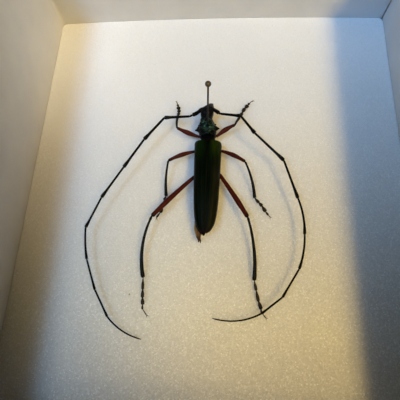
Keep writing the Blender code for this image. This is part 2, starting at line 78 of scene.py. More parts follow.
# %% Sizes of the box
INNER_WIDTH = 114.6
INNER_LENGTH = 135.0
CARD_THICK = 2.0
LINER_THICK = 1.0
FOAM_THICK = 10.0
RIM_ABOVE_FOAM = 42.0
CLEARANCE = 0.3
END_BOW = 1.35
BACK_LEFT_PULL = 0.7
SOFT_FOLD = 1.1
SEAM_HALF = 0.25
LINER_BELOW_RIM = 0.4
TRAY_CORNER = 1.2
FOAM_CORNER = 1.6
HALF_WIDTH = INNER_WIDTH / 2
HALF_LENGTH = INNER_LENGTH / 2
FOAM_TOP = CARD_THICK + CLEARANCE + FOAM_THICK
TRAY_INNER_WIDTH = INNER_WIDTH + 2 * (LINER_THICK + CLEARANCE)
TRAY_INNER_LENGTH = INNER_LENGTH + 2 * (END_BOW + LINER_THICK + CLEARANCE)
print("foam top at", FOAM_TOP, "mm, rim at", FOAM_TOP + RIM_ABOVE_FOAM, "mm")

# %% [markdown]
# The camera stands where the photographer's did: over the box, a hand's breadth above the foam, leaning
# back a little, turned and rolled. A camera this close needs a short clip start, or it cuts off the
# head of the pin. Building it from three angles keeps every number readable.

# %% Camera
CAMERA_TILT = math.radians(19.281)
CAMERA_YAW = math.radians(13.193)
CAMERA_ROLL = math.radians(-11.309)
CAMERA_PLACE = (5.107, -37.75, 108.0)
SENSOR_WIDTH = 36
CAMERA_LENS = 378.028 / 400 * SENSOR_WIDTH


def photo_camera():
    """A camera looking down into the box, aimed by tilt, yaw and roll."""
    forward = Vector((0, math.sin(CAMERA_TILT), -math.cos(CAMERA_TILT)))
    upward = Vector((0, math.cos(CAMERA_TILT), math.sin(CAMERA_TILT)))
    turn = Matrix.Rotation(CAMERA_YAW, 3, "Z")
    forward, upward, side = turn @ forward, turn @ upward, turn @ Vector((1, 0, 0))
    right = math.cos(CAMERA_ROLL) * side + math.sin(CAMERA_ROLL) * upward
    top = math.cos(CAMERA_ROLL) * upward - math.sin(CAMERA_ROLL) * side
    data = bpy.data.cameras.new("photo camera")
    data.sensor_width = SENSOR_WIDTH
    data.lens = CAMERA_LENS
    data.clip_start = 0.01
    camera = into_scene("photo camera", data)
    stand = Matrix((right, top, -forward)).transposed().to_4x4()
    stand.translation = (Vector(CAMERA_PLACE) + Vector((0, 0, FOAM_TOP))) * MM
    camera.matrix_world = stand
    bpy.context.scene.camera = camera
    return camera


print("camera lens", round(photo_camera().data.lens, 2), "mm")

# %% [markdown]
# Materials and Geometry Nodes are both graphs of nodes. Drawn by hand they are hard to read, so two small
# classes make them read like formulas. A `Wire` is one output of a node, with the usual signs of
# arithmetic, so that `1 - mask` adds the right Math node by itself.


# %% Wires that can be added and multiplied
class Wire:
    """One output of a node, which can be added, multiplied and so on."""

    def __init__(self, graph, socket):
        self.graph = graph
        self.socket = socket

    def maths(self, operation, first, second):
        """A Math node that works on two wires or numbers."""
        return self.graph.add("ShaderNodeMath", {"operation": operation}, {0: first, 1: second})

    def __add__(self, other):
        return self.maths("ADD", self, other)

    def __sub__(self, other):
        return self.maths("SUBTRACT", self, other)

    def __rsub__(self, other):
        return self.maths("SUBTRACT", other, self)

    def __mul__(self, other):
        return self.maths("MULTIPLY", self, other)

    __radd__ = __add__
    __rmul__ = __mul__

    def other(self, output):
        """Another output of the same node."""
        return Wire(self.graph, self.socket.node.outputs[output])


print("a wire takes + - and *")

# %% [markdown]
# The second class holds one tree. `Graph.add` makes any node, and the rest are short names for what nearly
# every finish needs: millimetres, noise, cells, a smooth fade, a blend of two colours and a bump. A finish
# could make each node and link by hand, but then its few real decisions would be lost among them.


# %% Short names for common nodes
class Graph:
    """Adds nodes to one tree, and has short names for the few that every finish needs."""

    def __init__(self, tree):
        self.tree = tree

    def add(self, kind, settings=None, inputs=None, output=0):
        """One output of a new node; its settings come first, then the values or wires of its sockets."""
        node = self.tree.nodes.new(kind)
        for name, value in (settings or {}).items():
            setattr(node, name, value)
        for name, value in (inputs or {}).items():
            if isinstance(value, Wire):
                self.tree.links.new(value.socket, node.inputs[name])
            else:
                node.inputs[name].default_value = value
        return Wire(self, node.outputs[output])

    def millimetres(self, stretch=(1, 1, 1)):
        """Object coordinates in millimetres, counted from the foam's top."""
        here = self.add("ShaderNodeTexCoord", output="Object")
        scale = [s / MM for s in stretch]
        shift = (0, 0, -FOAM_TOP * stretch[2])
        return self.add("ShaderNodeMapping", None, {"Vector": here, "Scale": scale, "Location": shift})

    def axis(self, where, letter):
        """X, Y or Z of a place."""
        return self.add("ShaderNodeSeparateXYZ", None, {0: where}, letter)

    def mark(self, name):
        """A number that the mesh carries under a name."""
        return self.add("ShaderNodeAttribute", {"attribute_name": name}, None, "Fac")

    def vectors(self, operation, first, second=(0.0, 0.0, 0.0)):
        """Vector Math; the second value is a number when the operation is SCALE."""
        slot = "Scale" if operation == "SCALE" else 1
        return self.add("ShaderNodeVectorMath", {"operation": operation}, {0: first, slot: second})

    def noise(self, where, scale, detail=3.0, roughness=0.5, distortion=0.0):
        """Clouds from 0 to 1."""
        values = {"Vector": where, "Scale": scale, "Detail": detail}
        values.update({"Roughness": roughness, "Distortion": distortion})
        return self.add("ShaderNodeTexNoise", None, values)

    def cells(self, where, scale, output="Distance"):
        """Voronoi cells: the distance to their middles, or the colour that each one gets."""
        return self.add("ShaderNodeTexVoronoi", None, {"Vector": where, "Scale": scale}, output)

    def fade(self, value, low, high, start=0.0, end=1.0):
        """A smooth step of value, from start at low to end at high."""
        values = {"Value": value, 1: low, 2: high, 3: start, 4: end}
        return self.add("ShaderNodeMapRange", {"interpolation_type": "SMOOTHSTEP"}, values)

    def blend(self, factor, first, second):
        """A mix of two colours, which may be wires or plain (r, g, b)."""
        colours = [c if isinstance(c, Wire) else (*c, 1.0) for c in (first, second)]
        values = {0: factor, 6: colours[0], 7: colours[1]}
        return self.add("ShaderNodeMix", {"data_type": "RGBA"}, values, 2)

    def bump(self, height, depth, strength=1.0, under=None):
        """A Bump node; depth is in millimetres."""
        values = {"Height": height, "Distance": depth * MM, "Strength": strength}
        if under is not None:
            values["Normal"] = under
        return self.add("ShaderNodeBump", None, values)

    def near(self, where, spot, radius):
        """1 at a spot and 0 from a radius on, both in millimetres."""
        away = self.add("ShaderNodeVectorMath", {"operation": "DISTANCE"}, {0: where, 1: spot}, "Value")
        return self.fade(away, radius * 0.4, radius, 1.0, 0.0)


print("graph helpers ready")

# %% [markdown]
# A finish is a Principled shader. Numbers that are the same all over go straight onto its sockets, and
# only what really changes over the surface is wired: here its colour, its roughness and its normal.


# %% Making a finish
def finish(name, wires, **constants):
    """A material from a function that gives wires for sockets, and constants for the rest."""
    material = bpy.data.materials.new(name)
    material.use_nodes = True
    shader = material.node_tree.nodes["Principled BSDF"]
    for socket, value in constants.items():
        shader.inputs[socket.replace("_", " ")].default_value = value
    graph = Graph(material.node_tree)
    for socket, value in wires(graph).items():
        material.node_tree.links.new(value.socket, shader.inputs[socket])
    return material


print("finish helper ready")

# %% [markdown]
# The card is a pale board with a papery skin. Real card is never one colour: it is a little cloudy, has
# short fibres in it, and picks up grey where hands and shelves rub it. Noise gives the clouds and the
# fibres at any size, where a picture of card would blur close up.


# %% Finish: card
def card_wires(colour, shade, worn=0.0):
    """Wires for a card of one colour with a cloudier second shade."""

    def wires(g):
        mm = g.millimetres()
        cloud = g.noise(mm, 0.06, 4.0, 0.6)
        fibre = g.noise(g.millimetres((1.0, 1.0, 0.25)), 3.0, 5.0, 0.65, 0.6)
        fleck = g.fade(g.cells(mm, 0.8), 0.04, 0.09, 1.0, 0.0)
        tone = g.blend(g.fade(cloud, 0.35, 0.68), colour, shade)
        tone = g.blend(g.fade(fibre, 0.45, 0.75) * 0.25, tone, [c * 0.9 for c in colour])
        tone = g.blend(fleck * 0.10, tone, [c * 0.62 for c in colour])
        if worn:
            height = g.axis(mm, "Z")
            rim = g.fade(height, RIM_ABOVE_FOAM - 1.6, RIM_ABOVE_FOAM)
            foot = g.fade(height, -FOAM_TOP, 2.0 - FOAM_TOP, 1.0, 0.0)
            rub = (rim + foot) * g.fade(g.noise(mm, 0.35, 6.0, 0.7), 0.46, 0.62)
            tone = g.blend(rub * worn, tone, [c * 0.55 for c in colour])
        rough = g.fade(cloud, 0.3, 0.7, 0.78, 0.9)
        relief = g.bump(fibre, 0.05, 0.5, g.bump(cloud, 0.4, 0.3))
        return {"Base Color": tone, "Roughness": rough, "Normal": relief}

    return wires


OUTER_CARD = finish("outer card", card_wires((0.60, 0.57, 0.52), (0.56, 0.53, 0.48), 0.3))
INNER_CARD = finish("inner card", card_wires((0.69, 0.675, 0.65), (0.645, 0.63, 0.61)))
print("card finishes:", OUTER_CARD.name, "and", INNER_CARD.name)

# %% [markdown]
# The foam is a closed-cell sheet. Each cell is a tiny bubble with its own thin glossy skin, so a cell
# here and there throws the light straight into the eye. The finish gives each cell its own tone and
# tilt, makes a few of them glossy, and paints the glints in: a few cells are painted white, and towards
# the front right, where the warm strip's glints fall, the cells get a painted contrast over a darker base.
#
# Light also wanders some millimetres inside foam, which softens the shadow of a thin leg. A second shader
# with subsurface light does that. It fades out at the foam's border, where light would leak out of the
# sheet's side and leave a dark line.

# %% Finish: foam
FOAM_CELLS = 3.0
FOAM_SPECK = (-22.25, -29.5, 0.0)
FOAM_TONES = ((0.79, 0.775, 0.745), (0.77, 0.755, 0.72))
# Painted glitter: towards the front right the base is darker, the cells darker and lighter, and more are
# nearly white as painted glints.
FOAM_FRONT = (0.73, 0.715, 0.685)
CELL_DARK = (0.46, 0.44, 0.40)
CELL_LIGHT = (0.98, 0.97, 0.95)
PAINTED_GLINT_WHITE = (1.0, 1.0, 0.99)
SPECK_BROWN = (0.20, 0.17, 0.12)
GLOW_REACH = 0.009


def foam_wires(g):
    """Pale cells with their own tone and tilt, painted glints growing towards the front right, one brown
    speck.
    """
    mm = g.millimetres()
    cell = g.cells(mm, FOAM_CELLS)
    tint = g.cells(mm, FOAM_CELLS, "Color")
    pick = g.add("ShaderNodeSeparateColor", None, {0: tint}, "Red")
    other = pick.other("Green")
    fine = g.noise(mm, 2.6, 5.0, 0.65)
    broad = g.noise(mm, 0.045, 3.0, 0.5)
    backwards = g.axis(mm, "Y")
    # painted glitter mask: it grows towards the front right, where the warm strip's glints fall
    grain = g.fade(backwards - backwards.other("X") * 0.35, 62.0, -72.0, 0.14, 1.0)
    tone = g.blend(g.fade(broad, 0.3, 0.7), *FOAM_TONES)
    tone = g.blend(grain, tone, FOAM_FRONT)
    tone = g.blend(g.fade(pick, 0.1, 0.7, 1.0, 0.0) * grain * 0.30, tone, CELL_DARK)
    tone = g.blend(g.fade(other, 0.70, 0.95) * grain * 0.50, tone, CELL_LIGHT)
    # painted glints: a few cells are painted nearly white
    painted_glint = g.fade(pick, 0.960, 0.965) * g.fade(cell, 0.45, 0.70, 1.0, 0.0)
    tone = g.blend(painted_glint * (0.25 + grain * 0.75), tone, PAINTED_GLINT_WHITE)
    speck = g.near(mm, FOAM_SPECK, 0.34)
    tone = g.blend(speck * 0.75, tone, SPECK_BROWN)
    rough = g.fade(pick, 0.85, 0.98, 0.55, 0.2)
    skin = g.bump(fine, 0.12, 0.5, g.bump(g.fade(cell, 0.0, 0.8, 1.0, 0.0), 0.10, 0.5))
    tilt = g.vectors("SCALE", g.vectors("SUBTRACT", tint, (0.5, 0.5, 0.5)), 0.30)
    tilted = g.vectors("NORMALIZE", g.vectors("ADD", skin, tilt))
    return {"Base Color": tone, "Roughness": rough, "Normal": tilted}


def foam_finish():
    """The plain foam shader at the border, mixed into one that glows where the mark 'deep' says so."""
    material = finish("foam", foam_wires)
    tree = material.node_tree
    graph = Graph(tree)
    plain = tree.nodes["Principled BSDF"]
    shared = {name: Wire(graph, plain.inputs[name].links[0].from_socket)
              for name in ("Base Color", "Roughness", "Normal")}
    glowing = graph.add("ShaderNodeBsdfPrincipled", None, {
        **shared, "Subsurface Weight": 1.0, "Subsurface Radius": (1.0, 1.0, 1.0),
        "Subsurface Scale": GLOW_REACH})
    mix = graph.add("ShaderNodeMixShader", None,
                    {0: graph.mark("deep"), 1: Wire(graph, plain.outputs[0]), 2: glowing})
    tree.links.new(mix.socket, tree.nodes["Material Output"].inputs[0])
    return material


FOAM = foam_finish()
print("foam finish ready")

# %% [markdown]
# The pin is a dark brown lacquered wire, with a lighter brown ball. Lacquer wears in patches, so one
# noise drives both its tone and its gloss. The ball's lacquer is thin over metal, so it is part metal
# under a clear coat; the wire is too fine for more than a faint gloss.


# %% Finishes: pin
def pin_wires(bright, dull):
    """Wires for lacquer in two tones, scratched along the pin."""

    def wires(g):
        mm = g.millimetres()
        patch = g.noise(mm, 1.4, 4.0, 0.6)
        scratch = g.noise(g.millimetres((6.0, 6.0, 0.6)), 3.0, 3.0)
        tone = g.blend(g.fade(patch, 0.38, 0.66), bright, dull)
        rough = g.fade(patch, 0.3, 0.7, 0.22, 0.42)
        return {"Base Color": tone, "Roughness": rough, "Normal": g.bump(scratch, 0.01, 0.4)}

    return wires


PIN_WIRE = finish("pin wire", pin_wires((0.010, 0.0065, 0.004), (0.005, 0.0035, 0.002)),
                  Specular_IOR_Level=0.10)
PIN_BALL = finish("pin ball", pin_wires((0.150, 0.110, 0.060), (0.08, 0.055, 0.03)),
                  Metallic=0.6, Coat_Weight=0.4)
print("pin finishes ready")

# %% [markdown]
# A beetle's shell is layered chitin. Most parts are black and waxy or stained red: two dark tones in
# clouds, with fine dimples. The dimples are finer than a hair, so a bump is enough for them, and their
# middles are painted darker as shade in the pits.


# %% Finish: plain shell
def shell_wires(base, second, grain=6.0, depth=0.02, rough=(0.3, 0.5), cloud=0.5, tips=None):
    """Two tones in clouds, fine dimples painted darker as shade, and another tone at the end, where 'along'
    says so.
    """

    def wires(g):
        mm = g.millimetres()
        broad = g.noise(mm, cloud, 4.0, 0.6)
        dimple = g.cells(mm, grain)
        fine = g.noise(mm, grain * 0.8, 4.0, 0.6)
        tone = g.blend(g.fade(broad, 0.34, 0.68), base, second)
        # painted shade: the middle of each dimple is darkened
        tone = g.blend(g.fade(dimple, 0.0, 0.35, 0.35, 0.0), tone, [c * 0.45 for c in base])
        if tips:
            start, end, dark = tips
            ends = g.fade(g.mark("along") + (broad - 0.5) * 0.06, start, end)
            tone = g.blend(ends, tone, dark)
        roughness = g.fade(fine, 0.3, 0.7, *rough)
        relief = g.bump(dimple, depth, 0.8, g.bump(fine, depth * 0.8, 0.6))
        return {"Base Color": tone, "Roughness": roughness, "Normal": relief}

    return wires


print("plain shell ready")

# %% [markdown]
# The wing cases are nearly black and shine green, because thin layers in them send green light back. A
# picture could paint the zones: greener shoulders and purple tips, and a painted sheen on the right case,
# olive-green streaks at the shoulder and an olive band along the side, with painted highlights along the
# ribs. The mesh already knows how far along and how far aside each point lies, so fades of those two
# marks place the zones sharply at any size.


# %% Finish: wing cases
def wing_case_wires(g):
    """Nearly black green shell: greener shoulders, painted sheen on the right case and ribs, purple tips."""
    mm = g.millimetres()
    broad = g.noise(g.millimetres((1.0, 0.25, 1.0)), 0.55, 4.0, 0.6)
    streak = g.noise(g.millimetres((3.0, 0.12, 3.0)), 1.2, 3.0, 0.6)
    pits = g.cells(mm, 7.0)
    fine = g.noise(mm, 9.0, 3.0, 0.6)
    aside, along = g.mark("aside"), g.mark("along")
    right = g.fade(g.axis(mm, "X"), -1.5, -0.2)
    tone = g.blend(g.fade(broad, 0.35, 0.65), (0.0004, 0.0019, 0.0003), (0.0012, 0.0030, 0.0006))
    front = g.fade(along, 0.02, 0.32, 1.0, 0.0) * g.fade(aside, 0.05, 0.5)
    tone = g.blend(front * 0.75, tone, (0.0035, 0.0130, 0.0008))
    # painted sheen on the right case: olive-green streaks at the shoulder, then an olive band along the side
    tone = g.blend(front * right * g.fade(streak, 0.3, 0.6) * 0.8, tone, (0.0170, 0.0260, 0.0016))
    painted_sheen_band = g.fade(aside, 0.28, 0.62) * g.fade(along, 0.12, 0.42) * right
    tone = g.blend(painted_sheen_band * (0.45 + g.fade(streak, 0.4, 0.6) * 0.5), tone, (0.0105, 0.0098, 0.0036))
    # painted highlight: the seam edge and the two ribs are drawn lighter
    painted_rib_highlight = g.fade(aside, 0.0, 0.05, 1.0, 0.0)
    for rib in (0.335, 0.60):
        painted_rib_highlight += g.fade(aside, rib - 0.035, rib) * g.fade(aside, rib, rib + 0.035, 1.0, 0.0)
    tone = g.blend(painted_rib_highlight * g.fade(along, 0.15, 0.4) * 0.4, tone, (0.0120, 0.0130, 0.0065))
    tone = g.blend(g.fade(aside, 0.84, 1.0) * 0.8, tone, (0.0010, 0.0012, 0.0010))
    tone = g.blend(g.fade(along, 0.93, 1.0) * 0.8, tone, (0.0120, 0.0045, 0.0050))
    rough = g.fade(fine, 0.3, 0.7, 0.30, 0.5)
    relief = g.bump(pits, 0.03, 0.7, g.bump(fine, 0.03, 0.6))
    return {"Base Color": tone, "Roughness": rough, "Normal": relief}


print("wing case shell ready")

# %% [markdown]
# The collar is black, with teal and green on its back and small bright facets in the middle. Thin-film
# colour on the whole plate would flood it, so height lets the shine in: the teal and green is a painted
# sheen on the plate's top. The bright facets are painted glints, and a slow noise gathers them into clumps.


# %% Finish: collar
def collar_wires(g):
    """Black shell with a painted teal and green sheen on its top, and clumps of painted glints in the middle.
    """
    mm = g.millimetres()
    broad = g.noise(mm, 0.9, 4.0, 0.6)
    fine = g.noise(mm, 3.2, 4.0, 0.65)
    facet = g.fade(g.cells(mm, 3.9) + (fine - 0.5) * 1.5, 0.30, 0.55, 1.0, 0.0)
    pick = g.add("ShaderNodeSeparateColor", None, {0: g.cells(mm, 3.9, "Color")}, "Red")
    height = g.axis(mm, "Z")
    middle = g.near(mm, (-1.5, 21.2, 7.2), 3.0)
    # painted sheen: the teal and green reaches only the plate's highest parts
    collar_painted_sheen = g.blend(g.fade(broad, 0.38, 0.62), (0.0020, 0.0150, 0.0125), (0.0040, 0.0190, 0.0042))
    back = g.fade(height + (broad - 0.5) * 1.6, 6.5, 7.8)
    tone = g.blend(back * 0.75 + 0.03, (0.0006, 0.0012, 0.0014), collar_painted_sheen)
    tone = g.blend(g.fade(fine, 0.48, 0.62) * 0.8, tone, (0.0005, 0.0010, 0.0012))
    # painted glints and teal patches, gathered in clumps round the middle
    clump = g.fade(broad, 0.46, 0.60)
    tone = g.blend(clump * middle * 0.30, tone, (0.060, 0.150, 0.110))
    painted_glint = g.fade(pick, 0.50, 0.85) * facet * middle * clump
    tone = g.blend(painted_glint * 0.9, tone, (0.20, 0.44, 0.31))
    return {"Base Color": tone, "Roughness": g.fade(fine, 0.3, 0.7, 0.14, 0.4),
            "Normal": g.bump(fine, 0.10, 0.8)}


print("collar shell ready")

# %% [markdown]
# The hind wings are a clear, veined skin that has folded and dried to amber. Clear shading would mostly
# show the dark body behind it, so the finish is opaque, with brown veins drawn out along the wing.


# %% Finish: hind wings
def amber_wires(g):
    """A folded, dried wing: clear amber, paler on its outer side, with brown veins and a dark tip."""
    mm = g.millimetres((1.0, 0.22, 1.0))
    vein = g.noise(mm, 2.4, 3.0, 0.6, 0.4)
    patch = g.noise(g.millimetres(), 0.7, 3.0)
    outer = g.mark("outer")
    length = g.axis(g.millimetres(), "Y")
    tone = g.blend(g.fade(patch, 0.35, 0.65), (0.110, 0.045, 0.005), (0.150, 0.070, 0.012))
    tone = g.blend(g.fade(outer + (vein - 0.5) * 0.9, 0.50, 0.80), tone, (0.30, 0.235, 0.115))
    tone = g.blend(g.fade(vein, 0.52, 0.60) * 0.8, tone, (0.055, 0.022, 0.005))
    tone = g.blend(g.fade(length + patch * 1.5, -12.8, -11.2, 0.85, 0.0), tone, (0.026, 0.010, 0.003))
    return {"Base Color": tone, "Roughness": g.fade(vein, 0.3, 0.7, 0.35, 0.6),
            "Normal": g.bump(vein, 0.06, 0.8)}


print("wing skin ready")

# %% [markdown]
# These recipes make every finish of the beetle. Legs and feelers share the plain shell and differ only in
# tone, gloss and grain. Nearly black shells need a low specular level, or the pale box mirrored in them
# would turn them grey.

# %% Finishes: beetle
BLACK = (0.0015, 0.0014, 0.0015)
BROWN_BLACK = (0.0040, 0.0026, 0.0020)
HEAD_BLACK = finish("head black", shell_wires(BLACK, (0.0045, 0.0040, 0.0028), 7.0, 0.03, (0.20, 0.42)),
                    Specular_IOR_Level=0.10)
EYE_DARK = finish("eye dark", shell_wires((0.006, 0.0045, 0.004), (0.012, 0.008, 0.006), 12.0, 0.01,
                                          (0.12, 0.2)), Coat_Weight=0.4)
JAW_BROWN = finish("jaw brown", shell_wires((0.040, 0.016, 0.008), (0.02, 0.010, 0.006), 5.0, 0.01,
                                            (0.2, 0.35)))
COLLAR_TEAL = finish("collar teal", collar_wires, Metallic=0.2, Specular_IOR_Level=0.10)
TRUNK_BLACK = finish("trunk black", shell_wires((0.0008, 0.0007, 0.0009), (0.0022, 0.0016, 0.0014), 6.0, 0.03,
                                                (0.45, 0.65)), Specular_IOR_Level=0.04)
WING_CASE_GREEN = finish("wing case green", wing_case_wires, Specular_IOR_Level=0.03)
WING_AMBER = finish("wing amber", amber_wires, Specular_IOR_Level=0.2)
THIGH_RED = finish("thigh red", shell_wires((0.062, 0.0068, 0.0024), (0.038, 0.0042, 0.0020), 5.0, 0.015,
                                            (0.38, 0.55), 0.5, (0.92, 0.985, BROWN_BLACK)),
                   Specular_IOR_Level=0.09)
SHANK_BLACK = finish("shank black", shell_wires(BLACK, BROWN_BLACK, 5.0, 0.015, (0.3, 0.5)),
                     Specular_IOR_Level=0.08)
FOOT_BROWN = finish("foot brown", shell_wires((0.009, 0.0055, 0.003), (0.022, 0.013, 0.006), 6.0, 0.015,
                                              (0.4, 0.6)), Specular_IOR_Level=0.15)
ANTENNA_BLACK = finish("antenna black", shell_wires(BLACK, (0.0030, 0.0024, 0.0022), 6.0, 0.012,
                                                    (0.28, 0.45)), Specular_IOR_Level=0.08)
BRISTLE = finish("bristle", shell_wires((0.010, 0.006, 0.004), (0.006, 0.004, 0.003), 6.0, 0.0),
                 Specular_IOR_Level=0.1)
print("finishes:", len(bpy.data.materials))

# %% [markdown]
# Most pieces start as a shell: points in millimetres, faces between them, and named marks, such as how
# far along a leg a point lies, which the finishes and the hair grower read later. Two shells can be
# added, so a claw or a spur simply joins the foot it grows on.


# %% Shells of points and faces
class Shell:
    """Points in millimetres, faces, and one number or direction a point for each mark."""

    def __init__(self, points, faces, **marks):
        self.points = np.asarray(points, float).reshape(-1, 3)
        self.faces = [tuple(face) for face in faces]
        self.marks = {name: np.asarray(values, float) for name, values in marks.items()}

    def __add__(self, other):
        shift = len(self.points)
        points = np.vstack([self.points, other.points])
        faces = self.faces + [tuple(i + shift for i in face) for face in other.faces]
        marks = {}
        for name in {**self.marks, **other.marks}:
            sample = self.marks.get(name, other.marks.get(name))
            halves = []
            for part in (self, other):
                empty = np.zeros((len(part.points), *sample.shape[1:]))
                halves.append(part.marks.get(name, empty))
            marks[name] = np.concatenate(halves)
        return Shell(points, faces, **marks)

    def mesh(self, name, *materials):
        """The shell as a smooth-shaded mesh."""
        mesh = bpy.data.meshes.new(name)
        mesh.from_pydata(self.points.tolist(), [], self.faces)
        for label, values in self.marks.items():
            kind = "FLOAT_VECTOR" if values.ndim == 2 else "FLOAT"
            layer = mesh.attributes.new(label, kind, "POINT")
            layer.data.foreach_set("vector" if values.ndim == 2 else "value", values.ravel())
        for material in materials:
            mesh.materials.append(material)
        mesh.shade_smooth()
        mesh.update()
        return mesh


def through_rows(rows, closed=True, capped=True, **marks):
    """A shell through equal rows of points. Closed rows are rings, and the end rings get a cap.

    Closed, capped shells always face outwards, whichever way their rings were drawn.
    """
    rows = np.asarray(rows, float)
    count, around = rows.shape[:2]
    index = np.arange(count * around).reshape(count, around)
    near, far = index[:-1], index[1:]
    if closed:
        sides = np.stack([near, far, np.roll(far, -1, 1), np.roll(near, -1, 1)], -1).reshape(-1, 4)
        faces = sides.tolist()
        if capped:
            faces.append(index[0].tolist())
            faces.append(index[-1][::-1].tolist())
            corners = rows.reshape(-1, 3)[sides] - rows.reshape(-1, 3).mean(axis=0)
            spans = np.cross(corners[:, 2] - corners[:, 0], corners[:, 3] - corners[:, 1])
            if (spans * corners.mean(axis=1)).sum() < 0:
                faces = [face[::-1] for face in faces]
    else:
        quads = [near[:, :-1], far[:, :-1], far[:, 1:], near[:, 1:]]
        faces = np.stack(quads, -1).reshape(-1, 4).tolist()
    return Shell(rows.reshape(-1, 3), faces, **marks)


print("shells can be added")

# %% [markdown]
# Only a few sections of each part were measured. A curve through them gives the rows in between, as a
# shipwright bends a batten round the frames. Spines, claws and swellings are round: Blender's own spheres
# and cones would do for straight ones, but rings of points can follow a bend too.


# %% Smooth tables, rings, blobs and horns
def smooth_table(table, steps):
    """In-between rows for a table of sections, on a smooth curve through the given ones."""
    table = np.asarray(table, float)
    slopes = np.gradient(table, axis=0)
    rows = []
    for i in range(len(table) - 1):
        for t in np.linspace(0, 1, steps, endpoint=False):
            h1, h2 = 2 * t ** 3 - 3 * t ** 2 + 1, 3 * t ** 2 - 2 * t ** 3
            h3, h4 = t ** 3 - 2 * t ** 2 + t, t ** 3 - t ** 2
            rows.append(h1 * table[i] + h2 * table[i + 1] + h3 * slopes[i] + h4 * slopes[i + 1])
    return np.array(rows + [table[-1]])


def step(value, low, high):
    """A smooth step from 0 at low to 1 at high."""
    t = np.clip((np.asarray(value, float) - low) / (high - low), 0, 1)
    return t * t * (3 - 2 * t)


def unit(vectors):
    """Vectors cut to a length of one."""
    return vectors / np.linalg.norm(vectors, axis=-1, keepdims=True)


def ring(centre, across, up, sides):
    """Points round a centre, reaching as far as two vectors do."""
    turns = np.linspace(0, 2 * math.pi, sides, endpoint=False)[:, None]
    return centre + np.cos(turns) * across + np.sin(turns) * up


def blob(centre, radii, sides=24, rings=14):
    """A closed ellipsoid, for swellings that a remesh will melt into a body."""
    wide, deep, high = np.diag(radii)
    return through_rows([ring(centre + high * math.cos(a), wide * math.sin(a), deep * math.sin(a), sides)
                         for a in np.linspace(0.02, math.pi - 0.02, rings)])


def horn(places, radii, sides):
    """A round closed tube through places, for spines, spurs, claws and small stalks."""
    places = np.asarray(places, float)
    runs = unit(np.gradient(places, axis=0))
    guide = np.array([0.0, 0.0, 1.0]) if abs(runs[0][2]) < 0.9 else np.array([1.0, 0.0, 0.0])
    rows = []
    for centre, run, radius in zip(places, runs, radii):
        side = unit(np.cross(run, guide))
        rows.append(ring(centre, radius * side, radius * np.cross(side, run), sides))
    return through_rows(rows)


print("a blob has", len(blob((0, 0, 0), (1, 1, 1)).faces), "faces")

# %% [markdown]
# Placing a finished piece is always the same: its mesh moves from millimetres over the foam to metres
# in the frame, it rides on the one body the model has, and it hides the CAD node it stands for. Modifiers
# run on a bench object of their own, which goes away again, so every placed piece is a plain mesh at the
# origin.


# %% Placing a finished piece
def place(name, mesh, slot, *nodes):
    """Put a mesh in the scene as a piece that stands for CAD nodes."""
    mesh.transform(Matrix.Scale(MM, 4) @ Matrix.Translation((0, 0, FOAM_TOP)))
    mesh.name = name
    piece = into_scene(name, mesh)
    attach(piece, "root")
    if nodes:
        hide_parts(*nodes)
    mesh.calc_loop_triangles()
    print(f"{name}: {len(mesh.loop_triangles)} triangles")
    return piece


def worked(mesh, *steps):
    """Run modifiers on a mesh and give back the result as a plain mesh."""
    holder = into_scene("on the bench", mesh)
    for kind, settings in steps:
        modifier = holder.modifiers.new(kind.lower(), kind)
        if kind == "NODES":
            modifier.node_group = settings["tree"]
            for item in modifier.node_group.interface.items_tree:
                if item.in_out == "INPUT" and item.name in settings:
                    modifier[item.identifier] = settings[item.name]
        else:
            for setting, value in settings.items():
                setattr(modifier, setting, value)
    graph = bpy.context.evaluated_depsgraph_get()
    result = bpy.data.meshes.new_from_object(holder.evaluated_get(graph))
    bpy.data.objects.remove(holder)
    return result


# %% [markdown]
# Four Geometry Nodes trees do the repeated work. The first one roughens a surface, which a bump alone
# can't do, because a bump never shows in an outline. It pushes each point along its normal by a field of
# small pits and by a softer grain, as far as the mark 'relief' allows. A pit depth below zero gives
# warts instead.


# %% Tree: skin relief
def new_tree(name, sockets):
    """A Geometry Nodes tree with named inputs, its graph helper and its input wires."""
    tree = bpy.data.node_groups.new(name, "GeometryNodeTree")
    tree.interface.new_socket("Geometry", in_out="INPUT", socket_type="NodeSocketGeometry")
    for label, kind in sockets:
        tree.interface.new_socket(label, in_out="INPUT", socket_type=f"NodeSocket{kind}")
    tree.interface.new_socket("Geometry", in_out="OUTPUT", socket_type="NodeSocketGeometry")
    graph = Graph(tree)
    first = graph.add("NodeGroupInput")
    return graph, {item.name: first.other(item.name) for item in tree.interface.items_tree
                   if item.in_out == "INPUT"}


def end_tree(graph, geometry, material):
    """Realize, set the material and close the tree."""
    real = graph.add("GeometryNodeRealizeInstances", None, {0: geometry})
    if material is not None:
        real = graph.add("GeometryNodeSetMaterial", None, {"Geometry": real, "Material": material})
    last = graph.tree.nodes.new("NodeGroupOutput")
    graph.tree.links.new(real.socket, last.inputs[0])
    return graph.tree


def point_mark(graph, name, kind="FLOAT"):
    """A mark of the mesh's points, read inside a Geometry Nodes tree."""
    return graph.add("GeometryNodeInputNamedAttribute", {"data_type": kind}, {"Name": name})


